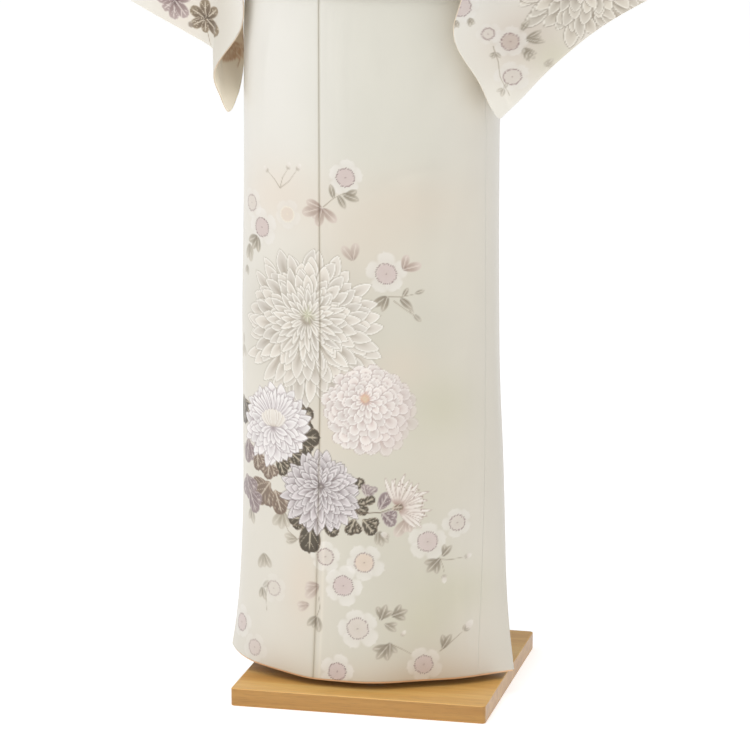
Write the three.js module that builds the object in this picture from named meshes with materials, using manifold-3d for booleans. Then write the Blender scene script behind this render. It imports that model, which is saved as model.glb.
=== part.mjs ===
// A houmongi kimono worn on a limbless dress form that stands on a square wooden board.
//
// Millimetres, +Z up. The garment faces -Y, and +X is the wearer's left. Each cut piece of cloth is
// one thin closed wall, laid on surfaces worked out below:
//   - the skirt, a wrap measured by its width along the cloth from the left overlap seam (wrapAt),
//   - the chest and back above the sash, up to the fold over the shoulders (chestAt),
//   - the sleeves, loops of cloth that hang from two raised rods (sleeveLoop).

import * as THREE from 'three';
import { mergeVertices } from 'three/addons/utils/BufferGeometryUtils.js';
import Module from 'manifold-3d';

const wasm = await Module();
wasm.setup();

// ---------------------------------------------------------------- driving sizes

const CLOTH = 1.5;               // wall of the silk with its own lining
const COLLAR_CLOTH = 2.4;        // the folded collar strip
const LINING = 1.0;              // single lining cloth
const SEAM = 0.3;                // between two pieces that are sewn together
const SEWN_GAP = SEAM / 2;       // from a seam line to each of its two edges

const FRONT_WIDTH = 230;         // front body width, from the overlap seam to the side seam
const BACK_WIDTH = 275;          // back body width, from the side seam to the centre back
const OKUMI_WIDTH = 155;         // overlap panel
const LAP_PITCH = 4.8;           // each turn of the wrap lies this far inside the one over it
const OKUMI_SEAM_X = -50;        // the left overlap seam hangs here, off the middle of the body

const SASH_LOW = 958;
const SASH_HIGH = 1045;
const SHOULDER_END = { x: 184, z: 1270 };
const NECK_POINT = { x: 78, z: 1380 };
const NAPE_Z = 1346;
const RIDGE_Y = -8;              // the fold over the shoulders, seen from above
const UNDERLAP = 6;              // the right front lies this far under the left at the chest

const COLLAR_WIDTH = 56;
const BOARD = { side: 350, thick: 25, corner: 5, bevel: 2, socket: 12 };
const BODY_AXIS = { x: -8, y: -42 };       // the worn body stands a little in front of the board's middle
const POLE = { x: 3, y: 14, radius: 14, intoForm: 45 };
const ROD = { radius: 8, rise: 0.65, zAtShoulder: 1254, intoForm: 30 };
const SLEEVE_WIDTH = 326;
const SLEEVE_TOP_RADIUS = 16;    // fold over the rod
const FIT = 0.3;                 // clearance of a rod or pole in its socket

// Skirt sections: where the left overlap seam hangs, half widths towards the wearer's left and right,
// depth of the front and back, and the shape of each quarter, (1 - |x / half| ** power) ** root. A root
// near 1 makes a sharp side fold.
const SECTIONS = [
  { z: 36, seamX: -61, left: 198, right: 203, front: 100, back: 88,
    powerLeft: 1.6, rootLeft: 1.0, powerRight: 1.9, rootRight: 0.55, powerBack: 1.8, rootBack: 0.7 },
  { z: 95, seamX: -59, left: 190.5, right: 191, front: 99, back: 89,
    powerLeft: 1.7, rootLeft: 0.9, powerRight: 1.95, rootRight: 0.53, powerBack: 1.9, rootBack: 0.62 },
  { z: 150, seamX: -57, left: 186, right: 185, front: 98, back: 90,
    powerLeft: 1.8, rootLeft: 0.75, powerRight: 2, rootRight: 0.5, powerBack: 2, rootBack: 0.55 },
  { z: 230, seamX: -55, left: 182, right: 180.5, front: 97, back: 91,
    powerLeft: 2, rootLeft: 0.6, powerRight: 2.1, rootRight: 0.48, powerBack: 2.1, rootBack: 0.5 },
  { z: 300, seamX: -53, left: 179, right: 178.5, front: 97, back: 92,
    powerLeft: 2.1, rootLeft: 0.52, powerRight: 2.2, rootRight: 0.46, powerBack: 2.1, rootBack: 0.48 },
  { z: 500, seamX: -50, left: 172, right: 178, front: 98, back: 94,
    powerLeft: 2.2, rootLeft: 0.46, powerRight: 2.2, rootRight: 0.46, powerBack: 2.2, rootBack: 0.46 },
  { z: 700, seamX: -50, left: 170, right: 174, front: 100, back: 97,
    powerLeft: 2.2, rootLeft: 0.455, powerRight: 2.2, rootRight: 0.455, powerBack: 2.2, rootBack: 0.455 },
  { z: 900, seamX: -50, left: 170, right: 172, front: 100, back: 98,
    powerLeft: 2.2, rootLeft: 0.455, powerRight: 2.2, rootRight: 0.455, powerBack: 2.2, rootBack: 0.455 },
  { z: 958, seamX: -50, left: 168, right: 170, front: 99, back: 96,
    powerLeft: 2.2, rootLeft: 0.455, powerRight: 2.2, rootRight: 0.455, powerBack: 2.2, rootBack: 0.455 },
  { z: 1045, seamX: -50, left: 163, right: 164, front: 96, back: 91,
    powerLeft: 2.2, rootLeft: 0.455, powerRight: 2.2, rootRight: 0.455, powerBack: 2.2, rootBack: 0.455 },
];

// Height of the hem edge along the wrap: raised at both overlap corners.
const HEM = [
  { w: -OKUMI_WIDTH, z: 53 },
  { w: -100, z: 43 },
  { w: -40, z: 38 },
  { w: 0, z: 36 },
  { w: 505, z: 37 },
  { w: 640, z: 44 },
  { w: 780, z: 50 },
  { w: 1010, z: 44 },
  { w: 1165, z: 48 },
];

// The sash draws the cloth in towards its seams.
const TAKE_IN = [
  { z: 780, share: 1 },
  { z: 900, share: 0.98 },
  { z: 1045, share: 0.93 },
];

// Rows of every skirt panel above its hem.
const SKIRT_ROWS = [95, 150, 230, 320, 420, 540, 680, 820, 920];

// Chest: where the armhole edge runs, how far its slit is open, and the depth of front and back.
const CHEST = [
  { z: 1045, edgeX: 160, slitY: -36, slitHalf: 0.2, front: 96, back: 91, rootFront: 0.82, rootBack: 0.29 },
  { z: 1070, edgeX: 161, slitY: -32, slitHalf: 20, front: 98, back: 91, rootFront: 0.85, rootBack: 0.4 },
  { z: 1110, edgeX: 164, slitY: -24, slitHalf: 36, front: 99, back: 90, rootFront: 0.9, rootBack: 0.55 },
  { z: 1180, edgeX: 171, slitY: -16, slitHalf: 44, front: 94, back: 86, rootFront: 1, rootBack: 0.75 },
  { z: 1240, edgeX: 179, slitY: -10, slitHalf: 40, front: 88, back: 82, rootFront: 1, rootBack: 0.9 },
  { z: 1270, edgeX: 184, slitY: -8, slitHalf: 34, front: 85, back: 80, rootFront: 1, rootBack: 1 },
  { z: 1400, edgeX: 184, slitY: -8, slitHalf: 34, front: 82, back: 76, rootFront: 1, rootBack: 1 },
];
const CHEST_ROUND = 2.6;         // power of the roll over the shoulder
const CHEST_POWER = 2.2;

// Rows of a body length above the sash: the inner edge (overlap seam, collar line or neck hole) and
// the outer edge (armhole), front and back.
const FRONT_ROWS = [
  { inX: OKUMI_SEAM_X, inZ: 1072, outZ: 1065 },
  { inX: OKUMI_SEAM_X, inZ: 1100, outZ: 1085 },
  { inX: OKUMI_SEAM_X, inZ: 1148, outZ: 1125 },
  { inX: 0, inZ: 1218, outZ: 1168 },
  { inX: 36, inZ: 1273, outZ: 1210 },
  { inX: 60, inZ: 1316, outZ: 1243 },
  { inX: 74, inZ: 1352, outZ: 1261 },
  { inX: 77.4, inZ: 1373, outZ: 1268.5 },
];
const BACK_ROWS = [
  { inX: 76, inZ: 1375, outZ: 1268.5 },
  { inX: 64, inZ: 1364, outZ: 1261 },
  { inX: 38, inZ: 1352, outZ: 1243 },
  { inX: SEWN_GAP, inZ: NAPE_Z, outZ: 1210 },
  { inX: SEWN_GAP, inZ: 1290, outZ: 1168 },
  { inX: SEWN_GAP, inZ: 1200, outZ: 1120 },
  { inX: SEWN_GAP, inZ: 1110, outZ: 1085 },
  { inX: SEWN_GAP, inZ: 1075, outZ: 1065 },
];

// The collar behind the sash: its sewn edge on the overlap panel, and how far it reaches past it.
const COLLAR_ON_OKUMI = [
  { w: -150, z: 972, reach: 14 },
  { w: -125, z: 1010, reach: 22 },
  { w: -100, z: 1045, reach: 30 },
];
const COLLAR_LINE = { fromX: -133, fromZ: 1045, toX: OKUMI_SEAM_X, toZ: 1148 };

// The collar from the front crossing to the back of the neck. The free edge stands up round the neck.
const COLLAR_NECK = [
  { seamX: 60, seamZ: 1316, freeX: 22, freeY: -66, freeZ: 1355, lift: 0.6 },
  { seamX: 74, seamZ: 1352, freeX: 43, freeY: -50, freeZ: 1397, lift: 1.2 },
  { seamX: 77.4, seamZ: 1373, freeX: 55, freeY: -28, freeZ: 1422, lift: 2.2 },
];
const COLLAR_BACK = [
  { seamX: 78, seamY: RIDGE_Y, seamZ: 1380, freeX: 60, freeY: 4, freeZ: 1432, lift: 2.4 },
  { seamX: 64, seamY: 26, seamZ: 1364, freeX: 54, freeY: 38, freeZ: 1419, lift: 2.4 },
  { seamX: 38, seamY: 48, seamZ: 1352, freeX: 34, freeY: 62, freeZ: 1406, lift: 2.4 },
];
const COLLAR_NAPE = { seamX: 0, seamY: 55, seamZ: NAPE_Z, freeX: 0, freeY: 72, freeZ: 1400, lift: 2.4 };

// Sleeves: the inner edge and the soft fold beside it, each with its front and back cloth, and the
// height of the bottom edge going outwards. x is measured away from the body's middle.
const SLEEVES = {
  left: {
    edge: [
      { z: 1070, frontX: 163, frontY: -56, backX: 163, backY: -8 },
      { z: 1046, frontX: 168, frontY: -80, backX: 180, backY: 8 },
      { z: 960, frontX: 142, frontY: -112, backX: 182, backY: 34 },
      { z: 908, frontX: 133, frontY: -114, backX: 184, backY: 40 },
      { z: 852, frontX: 162, frontY: -98, backX: 186, backY: 10 },
      { z: 815, frontX: 173, frontY: -72, backX: 186, backY: -36 },
      { z: 800, frontX: 182, frontY: -56, backX: 182, backY: -56 },
    ],
    fold: [
      { z: 1070, frontX: 196, frontY: -42, backX: 198, backY: 10 },
      { z: 960, frontX: 194, frontY: -72, backX: 208, backY: 26 },
      { z: 908, frontX: 193, frontY: -80, backX: 212, backY: 24 },
      { z: 850, frontX: 200, frontY: -70, backX: 212, backY: -6 },
      { z: 826, frontX: 208, frontY: -48, backX: 208, backY: -48 },
    ],
    bottom: [
      { x: 182, z: 800 }, { x: 208, z: 826 }, { x: 250, z: 871 }, { x: 305, z: 917 },
      { x: 369, z: 956 }, { x: 420, z: 984 }, { x: 446, z: 1010 }, { x: 457, z: 1052 },
    ],
  },
  right: {
    edge: [
      { z: 1070, frontX: 163, frontY: -56, backX: 163, backY: -8 },
      { z: 1046, frontX: 166, frontY: -66, backX: 182, backY: 8 },
      { z: 960, frontX: 160, frontY: -68, backX: 186, backY: 34 },
      { z: 908, frontX: 164, frontY: -64, backX: 188, backY: 32 },
      { z: 852, frontX: 201, frontY: -60, backX: 184, backY: 14 },
      { z: 812, frontX: 193, frontY: -56, backX: 181, backY: -30 },
      { z: 796, frontX: 183, frontY: -55, backX: 183, backY: -55 },
    ],
    fold: [
      { z: 1070, frontX: 200, frontY: -34, backX: 202, backY: 12 },
      { z: 960, frontX: 207, frontY: -32, backX: 214, backY: 26 },
      { z: 930, frontX: 210, frontY: -30, backX: 216, backY: 22 },
      { z: 895, frontX: 212, frontY: -28, backX: 216, backY: 8 },
      { z: 870, frontX: 212, frontY: -14, backX: 212, backY: -14 },
    ],
    bottom: [
      { x: 183, z: 796 }, { x: 212, z: 870 }, { x: 250, z: 893 }, { x: 305, z: 921 },
      { x: 369, z: 956 }, { x: 420, z: 984 }, { x: 446, z: 1010 }, { x: 457, z: 1052 },
    ],
  },
};

// Points down one face of a sleeve loop: share of the hanging length, height on the inner edge, and
// half the thickness of the hanging bag.
const LOOP = [
  { share: 0.014, edgeZ: 1265, half: 8.5 },
  { share: 0.05, edgeZ: 1252, half: 12.5 },
  { share: 0.14, edgeZ: 1215, half: 15 },
  { share: 0.29, edgeZ: 1140, half: 18 },
  { share: 0.43, edgeZ: 1070, half: 20 },
  { share: 0.48, edgeZ: 1046, half: 20 },
  { share: 0.65, edgeZ: 960, half: 20 },
  { share: 0.77, edgeZ: 908, half: 17 },
  { share: 0.89, edgeZ: 852, half: 11 },
  { share: 0.965, edgeZ: 814, half: 5 },
];
const SLEEVE_STATIONS = [250, 305, 369, 420, 446, 457];
const FOLD_FADE = [0.45, 0.12, 0, 0, 0, 0];
const CUFF_DEPTH = 225;          // open length of the outer edge, below the fold

// Dress form sections, from the hips to the cap on the neck.
const FORM = [
  { z: 600, x: 58, y: 32 }, { z: 604, x: 100, y: 54 }, { z: 616, x: 127, y: 68 }, { z: 650, x: 144, y: 74 },
  { z: 720, x: 150, y: 78 }, { z: 820, x: 146, y: 78 }, { z: 980, x: 130, y: 74 }, { z: 1060, x: 134, y: 76 },
  { z: 1150, x: 144, y: 72 }, { z: 1205, x: 152, y: 66 }, { z: 1245, x: 154, y: 56 }, { z: 1270, x: 146, y: 50 },
  { z: 1300, x: 108, y: 44 }, { z: 1328, x: 72, y: 40 }, { z: 1350, x: 53, y: 37 }, { z: 1375, x: 46, y: 37 },
  { z: 1424, x: 45, y: 37 }, { z: 1433, x: 41, y: 34 }, { z: 1437, x: 30, y: 26 },
];
const FORM_SHIFT = { x: 3, y: 6 };
const FORM_SIDES = 32;

const COLOURS = {
  silk: 0xe4dfd2,
  lining: 0xd9c9a8,
  sash: 0xe9e3d6,
  form: 0xd8d2c6,
  steel: 0xb9bbbd,
  beech: 0xc89a5e,
};

// ---------------------------------------------------------------- small helpers

const clamp = (value, low, high) => Math.min(high, Math.max(low, value));
const mix = (a, b, t) => a + (b - a) * t;
const smooth = (t) => {
  const s = clamp(t, 0, 1);
  return s * s * (3 - 2 * s);
};

// The row of a table at a key's value, each column linear between its rows.
function rowAt(table, key, value) {
  const last = table.length - 1;
  const rising = table[last][key] > table[0][key];
  let i = 0;
  while (i < last - 1 && (rising ? value > table[i + 1][key] : value < table[i + 1][key])) i++;
  const t = clamp((value - table[i][key]) / (table[i + 1][key] - table[i][key]), 0, 1);
  const row = {};
  for (const name of Object.keys(table[i])) row[name] = mix(table[i][name], table[i + 1][name], t);
  return row;
}

function material(colour, roughness, metalness = 0) {
  return new THREE.MeshStandardMaterial({ color: colour, roughness, metalness });
}

// A sheet's point: where it is, and which way is out.
const spot = (position, normal) => ({ position, normal: normal.clone().normalize() });

// ---------------------------------------------------------------- the skirt

const CURVE_STEPS = 240;
const curves = new Map();

// One closed section of the skirt, with the length along it counted from the left overlap seam.
function sectionCurve(z) {
  if (curves.has(z)) return curves.get(z);
  const s = rowAt(SECTIONS, 'z', z);
  const points = [];
  for (let i = 0; i <= CURVE_STEPS; i++) {
    const angle = -Math.PI / 2 + (2 * Math.PI * i) / CURVE_STEPS;
    const across = Math.cos(angle);
    const atBack = Math.sin(angle) > 0;
    const half = across > 0 ? s.left : s.right;
    const power = atBack ? s.powerBack : across > 0 ? s.powerLeft : s.powerRight;
    const root = atBack ? s.rootBack : across > 0 ? s.rootLeft : s.rootRight;
    const depth = atBack ? s.back : -s.front;
    const swell = Math.max(0, 1 - Math.abs(across) ** power) ** root;
    points.push(new THREE.Vector2(half * across, depth * swell));
  }
  const lengths = [0];
  for (let i = 1; i < points.length; i++) {
    lengths.push(lengths[i - 1] + points[i].distanceTo(points[i - 1]));
  }
  const total = lengths[CURVE_STEPS];
  let start = 0;
  for (let i = Math.round(CURVE_STEPS * 0.75); i < CURVE_STEPS; i++) {
    if (points[i].x <= s.seamX && points[i + 1].x > s.seamX) {
      const t = (s.seamX - points[i].x) / (points[i + 1].x - points[i].x);
      start = mix(lengths[i], lengths[i + 1], t);
    }
  }
  const curve = { points, lengths, total, start };
  curves.set(z, curve);
  return curve;
}

function onCurve(curve, length) {
  const along = (((length + curve.start) % curve.total) + curve.total) % curve.total;
  let i = 0;
  while (i < CURVE_STEPS - 1 && curve.lengths[i + 1] < along) i++;
  const t = (along - curve.lengths[i]) / (curve.lengths[i + 1] - curve.lengths[i]);
  return curve.points[i].clone().lerp(curve.points[i + 1], t);
}

// The wrap at width w and height z. Width runs from the left overlap seam round the wearer's left.
function wrapAt(w, z, out = 0) {
  const curve = sectionCurve(z);
  const length = w * rowAt(TAKE_IN, 'z', z).share;
  const reach = 5;
  const ahead = onCurve(curve, length + reach);
  const behind = onCurve(curve, length - reach);
  const normal = new THREE.Vector3(ahead.y - behind.y, behind.x - ahead.x, 0).normalize();
  const here = onCurve(curve, length);
  const offset = out - (LAP_PITCH * length) / curve.total;
  return spot(new THREE.Vector3(here.x, here.y, z).addScaledVector(normal, offset), normal);
}

const hemZ = (w) => rowAt(HEM, 'w', w).z;

// ---------------------------------------------------------------- chest, back and shoulders

const shoulderSlope = (NECK_POINT.z - SHOULDER_END.z) / (SHOULDER_END.x - NECK_POINT.x);

function ridgeZ(x) {
  const away = Math.abs(x);
  return away > NECK_POINT.x ? NECK_POINT.z - (away - NECK_POINT.x) * shoulderSlope
    : NECK_POINT.z + (NECK_POINT.x - away) * 0.25;
}

// The front or back cloth before it rolls in over the shoulder.
function fullDepthY(x, z, face) {
  const s = rowAt(CHEST, 'z', z);
  const edgeY = face === 'front' ? s.slitY - s.slitHalf : s.slitY + s.slitHalf;
  const middleY = face === 'front' ? -s.front : s.back;
  const root = face === 'front' ? s.rootFront : s.rootBack;
  const share = (1 - clamp(Math.abs(x) / s.edgeX, 0, 1) ** CHEST_POWER) ** root;
  return edgeY + (middleY - edgeY) * share;
}

// How far a point is out from the shoulder fold's plane, as a share of the full depth there: 1 is on
// the cloth.
function chestLevel(x, y, z, face) {
  const rise = Math.max(0, (z - SASH_HIGH) / (ridgeZ(x) - SASH_HIGH));
  const depth = Math.abs(fullDepthY(x, z, face) - RIDGE_Y);
  return (Math.abs(y - RIDGE_Y) / depth) ** CHEST_ROUND + rise ** CHEST_ROUND;
}

function chestAt(x, z, face, out = 0) {
  const rise = clamp((z - SASH_HIGH) / (ridgeZ(x) - SASH_HIGH), 0, 1);
  const roll = (1 - rise ** CHEST_ROUND) ** (1 / CHEST_ROUND);
  const y = RIDGE_Y + (fullDepthY(x, z, face) - RIDGE_Y) * roll;
  const { edgeX } = rowAt(CHEST, 'z', z);
  const step = 0.5;
  const side = face === 'front' ? -1 : 1;
  const yTest = rise > 0.999 ? RIDGE_Y + side * 0.01 : y;
  const inX = Math.sign(x) * Math.min(Math.abs(x), edgeX - 4 * step);
  const normal = new THREE.Vector3(
    chestLevel(inX + step, yTest, z, face) - chestLevel(inX - step, yTest, z, face),
    chestLevel(inX, yTest + step * 0.02, z, face) - chestLevel(inX, yTest - step * 0.02, z, face),
    chestLevel(inX, yTest, z + step, face) - chestLevel(inX, yTest, z - step, face),
  );
  normal.y *= 50;
  normal.x *= 0.6;
  normal.normalize();
  return spot(new THREE.Vector3(x, y, z).addScaledVector(normal, out), normal);
}

// The right front sinks where the left front, overlap and collar lie over it.
function underlap(x, z) {
  const coverX = (z - 1318) / 1.5;
  return -UNDERLAP * smooth((x - (coverX - 60)) / 50);
}

// ---------------------------------------------------------------- walls

// A closed wall of even thickness round a grid of spots. A tube's columns run all the way round.
function wall(name, sheet, thickness, look, { tube = false, shift = 0 } = {}) {
  const rows = sheet.length;
  const columns = sheet[0].length;
  const positions = [];
  for (const half of [thickness / 2, -thickness / 2]) {
    for (const row of sheet) {
      for (const { position, normal } of row) {
        positions.push(...position.clone().addScaledVector(normal, shift + half));
      }
    }
  }
  const inner = rows * columns;
  const at = (j, i) => j * columns + (i % columns);
  const point = (index) => new THREE.Vector3().fromArray(positions, index * 3);
  const triangles = [];
  const quad = (a, b, c, d) => triangles.push(a, b, c, a, c, d);
  const span = tube ? columns : columns - 1;
  for (let j = 0; j < rows - 1; j++) {
    for (let i = 0; i < span; i++) {
      const [a, b, c, d] = [at(j, i), at(j, i + 1), at(j + 1, i + 1), at(j + 1, i)];
      const shortAC = point(a).distanceTo(point(c)) <= point(b).distanceTo(point(d));
      if (shortAC) {
        quad(a, b, c, d);
        quad(inner + a, inner + d, inner + c, inner + b);
      } else {
        quad(b, c, d, a);
        quad(inner + b, inner + a, inner + d, inner + c);
      }
    }
  }
  for (let i = 0; i < span; i++) {
    quad(at(0, i + 1), at(0, i), inner + at(0, i), inner + at(0, i + 1));
    const j = rows - 1;
    quad(at(j, i), at(j, i + 1), inner + at(j, i + 1), inner + at(j, i));
  }
  if (!tube) {
    const i = columns - 1;
    for (let j = 0; j < rows - 1; j++) {
      quad(at(j, 0), at(j + 1, 0), inner + at(j + 1, 0), inner + at(j, 0));
      quad(at(j + 1, i), at(j, i), inner + at(j, i), inner + at(j + 1, i));
    }
  }
  let volume = 0;
  for (let k = 0; k < triangles.length; k += 3) {
    volume += point(triangles[k]).dot(point(triangles[k + 1]).cross(point(triangles[k + 2])));
  }
  if (volume < 0) {
    for (let k = 0; k < triangles.length; k += 3) {
      [triangles[k + 1], triangles[k + 2]] = [triangles[k + 2], triangles[k + 1]];
    }
  }
  const geometry = new THREE.BufferGeometry();
  geometry.setAttribute('position', new THREE.Float32BufferAttribute(positions, 3));
  geometry.setIndex(triangles);
  geometry.computeVertexNormals();
  const mesh = new THREE.Mesh(geometry, look);
  mesh.name = name;
  return mesh;
}

// Spots with normals worked out from a grid of positions, for cloth that leaves the body's surface.
function sheetFromPoints(points, outwards, tube = false) {
  const columns = points[0].length;
  const near = (j, i) => {
    const row = clamp(j, 0, points.length - 1);
    const column = tube ? (i + columns) % columns : clamp(i, 0, columns - 1);
    return points[row][column];
  };
  return points.map((row, j) => row.map((position, i) => {
    const along = near(j + 1, i).clone().sub(near(j - 1, i));
    const across = near(j, i + 1).clone().sub(near(j, i - 1));
    const normal = along.cross(across).normalize();
    if (normal.dot(outwards(position, j, i)) < 0) normal.negate();
    return spot(position, normal);
  }));
}

// ---------------------------------------------------------------- body lengths

const BODY_COLUMNS = 11;
const OKUMI_COLUMNS = 6;

const across = (from, to, count) => Array.from({ length: count + 1 }, (_, i) => mix(from, to, i / count));

// The same, closer together towards the far end, where the side fold is.
const crowded = (from, to, count, power = 1.5) => {
  const shares = across(0, 1, count).map((t) => 1 - (1 - t) ** power);
  return shares.map((share) => mix(from, to, share));
};

function skirtRow(widths, z) {
  return widths.map((w) => wrapAt(w, z === 'hem' ? hemZ(w) : z));
}

function chestRow({ inX, inZ, outZ }, side, face, drop) {
  const outX = rowAt(CHEST, 'z', outZ).edgeX;
  const power = face === 'front' ? 1.5 : 1.8;
  return crowded(0, 1, BODY_COLUMNS, power).map((t) => {
    const x = side * mix(inX, outX, t);
    const z = Math.min(mix(inZ, outZ, t) + 6 * t * (1 - t), ridgeZ(x));
    return chestAt(x, z, face, drop(x, z));
  });
}

function ridgeRow(side) {
  return crowded(0, 1, BODY_COLUMNS, 1.65).map((t) => {
    const x = side * mix(NECK_POINT.x, SHOULDER_END.x, t);
    const normal = new THREE.Vector3(side * shoulderSlope, 0, 1);
    return spot(new THREE.Vector3(x, RIDGE_Y, ridgeZ(x)), normal);
  });
}

// One body length, from the front hem over the shoulder to the back hem. The widths run from the
// inner edge to the side seam.
function bodyLength(side, frontWidths, backWidths, drop) {
  const rows = [...SKIRT_ROWS, ...COLLAR_ON_OKUMI.map(({ z }) => z)];
  const sheet = [skirtRow(frontWidths, 'hem')];
  for (const z of rows) sheet.push(skirtRow(frontWidths, z));
  for (const row of FRONT_ROWS) sheet.push(chestRow(row, side, 'front', drop));
  sheet.push(ridgeRow(side));
  for (const row of BACK_ROWS) sheet.push(chestRow(row, side, 'back', () => 0));
  for (const z of [...rows].reverse()) sheet.push(skirtRow(backWidths, z));
  sheet.push(skirtRow(backWidths, 'hem'));
  return sheet;
}

const SIDE_LEFT = FRONT_WIDTH;
const CENTRE_BACK = FRONT_WIDTH + BACK_WIDTH;
const SIDE_RIGHT = CENTRE_BACK + BACK_WIDTH;
const OKUMI_SEAM_RIGHT = SIDE_RIGHT + FRONT_WIDTH;
const WIDTHS = {
  okumiLeft: across(-SEWN_GAP, -OKUMI_WIDTH, OKUMI_COLUMNS),
  frontLeft: crowded(SEWN_GAP, SIDE_LEFT - SEWN_GAP, BODY_COLUMNS),
  backLeft: crowded(CENTRE_BACK - SEWN_GAP, SIDE_LEFT + SEWN_GAP, BODY_COLUMNS),
  backRight: crowded(CENTRE_BACK + SEWN_GAP, SIDE_RIGHT - SEWN_GAP, BODY_COLUMNS),
  frontRight: crowded(OKUMI_SEAM_RIGHT - SEWN_GAP, SIDE_RIGHT + SEWN_GAP, BODY_COLUMNS),
  okumiRight: across(OKUMI_SEAM_RIGHT + SEWN_GAP, OKUMI_SEAM_RIGHT + OKUMI_WIDTH, OKUMI_COLUMNS),
};

function makeBodies(look) {
  const left = bodyLength(1, WIDTHS.frontLeft, WIDTHS.backLeft, () => 0);
  const right = bodyLength(-1, WIDTHS.frontRight, WIDTHS.backRight, underlap);
  return [wall('body_left', left, CLOTH, look), wall('body_right', right, CLOTH, look)];
}

// ---------------------------------------------------------------- overlap panels

function collarLineX(z) {
  const { fromX, fromZ, toX, toZ } = COLLAR_LINE;
  return fromX + ((z - fromZ) * (toX - fromX)) / (toZ - fromZ);
}

// An overlap panel: from its seam to its free edge, cut off slantwise above by the collar. The chest
// part of the right panel is mirrored by a side of -1.
function okumi(seamW, direction, side, drop) {
  const seamEdge = seamW + direction * SEWN_GAP;
  const widthsTo = (reach) => across(seamEdge, seamW + direction * reach, OKUMI_COLUMNS);
  const sheet = [skirtRow(widthsTo(OKUMI_WIDTH), 'hem')];
  for (const z of SKIRT_ROWS) sheet.push(skirtRow(widthsTo(OKUMI_WIDTH), z));
  for (const { w, z } of COLLAR_ON_OKUMI) sheet.push(skirtRow(widthsTo(-w - 2), z));
  for (const z of [1072, 1100, 1143]) {
    const xs = across(OKUMI_SEAM_X - 2 * SEWN_GAP, collarLineX(z) + 2, OKUMI_COLUMNS);
    sheet.push(xs.map((x) => chestAt(side * x, z, 'front', drop(side * x, z))));
  }
  return sheet;
}

function makeOkumi(look) {
  return [
    wall('okumi_left', okumi(0, -1, 1, () => 0), CLOTH, look),
    wall('okumi_right', okumi(OKUMI_SEAM_RIGHT, 1, -1, underlap), CLOTH, look),
  ];
}

// ---------------------------------------------------------------- collar

const COLLAR_COLUMNS = 3;
const COLLAR_LEAN = { x: -0.83, z: 0.56 };   // from its seam to its free edge, on the chest

// The collar's rows on one side, from its lower end to beside the back of the neck.
function collarHalf(seamW, direction, side, drop) {
  const rows = [];
  for (const { w, z, reach } of COLLAR_ON_OKUMI) {
    const widths = across(0.5, reach, COLLAR_COLUMNS).map((past) => seamW + direction * (past - w));
    rows.push(widths.map((width) => wrapAt(width, z).position));
  }
  const line = [
    { x: collarLineX(1058), z: 1058, width: 34 },
    { x: collarLineX(1074), z: 1074, width: 48 },
    { x: collarLineX(1100), z: 1100, width: COLLAR_WIDTH },
    { x: OKUMI_SEAM_X, z: COLLAR_LINE.toZ, width: COLLAR_WIDTH },
    { x: 0, z: 1218, width: COLLAR_WIDTH },
    { x: 36, z: 1273, width: COLLAR_WIDTH },
  ];
  for (const { x, z, width } of line) {
    rows.push(across(0.5, width, COLLAR_COLUMNS).map((reach) => {
      const px = side * (x + COLLAR_LEAN.x * reach);
      const pz = z + COLLAR_LEAN.z * reach;
      return chestAt(px, pz, 'front', drop(px, pz)).position;
    }));
  }
  for (const row of COLLAR_NECK) {
    const sx = side * row.seamX;
    const seam = chestAt(sx, row.seamZ, 'front', drop(sx, row.seamZ)).position;
    const freeX = side * row.freeX;
    const free = new THREE.Vector3(freeX, row.freeY - drop(freeX, row.freeZ), row.freeZ);
    rows.push(standing(seam, free, row.lift));
  }
  for (const row of COLLAR_BACK) {
    const seam = new THREE.Vector3(side * row.seamX, row.seamY, row.seamZ);
    const free = new THREE.Vector3(side * row.freeX, row.freeY, row.freeZ);
    rows.push(standing(seam, free, row.lift));
  }
  return rows;
}

// A row of the collar that leaves the shoulder and stands up to its free edge.
function standing(seam, free, lift) {
  const start = seam.clone().lerp(free, lift / seam.distanceTo(free));
  return across(0, 1, COLLAR_COLUMNS).map((t) => start.clone().lerp(free, t));
}

function makeCollar(look) {
  const left = collarHalf(0, -1, 1, () => 0);
  const right = collarHalf(OKUMI_SEAM_RIGHT, 1, -1, underlap);
  const nape = standing(
    new THREE.Vector3(0, COLLAR_NAPE.seamY, COLLAR_NAPE.seamZ),
    new THREE.Vector3(0, COLLAR_NAPE.freeY, COLLAR_NAPE.freeZ),
    COLLAR_NAPE.lift,
  );
  const outwards = (position) => new THREE.Vector3(position.x, position.y, 30);
  const sheet = sheetFromPoints([...left, nape, ...right.reverse()], outwards);
  const plainEnd = COLLAR_ON_OKUMI.length + 3;
  const over = sheet.slice(plainEnd, sheet.length - plainEnd);
  const shift = COLLAR_CLOTH / 2 + SEAM + LINING / 2;
  return [
    wall('collar', sheet, COLLAR_CLOTH, look),
    wall('over_collar', over, LINING, look, { shift }),
  ];
}

// ---------------------------------------------------------------- sash and hem lining

const SASH = { cloth: 1.6, start: 440, lap: 60, out: 3.6, pitch: 2.6, columns: 52 };

function makeSash(look) {
  const { total } = sectionCurve(SASH_HIGH);
  const low = sectionCurve(SASH_LOW).total;
  const sheet = [SASH_LOW, (SASH_LOW + SASH_HIGH) / 2, SASH_HIGH].map((z) => {
    const around = sectionCurve(z).total;
    return across(0, 1, SASH.columns).map((t) => {
      const turns = t * (1 + SASH.lap / low);
      const length = SASH.start * (around / total) + turns * around;
      const share = rowAt(TAKE_IN, 'z', z).share;
      const flat = wrapAt(length / share, z, (LAP_PITCH * length) / around);
      flat.position.addScaledVector(flat.normal, SASH.out + SASH.pitch * turns);
      return flat;
    });
  });
  return wall('waist_sash', sheet, SASH.cloth, look);
}

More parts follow.
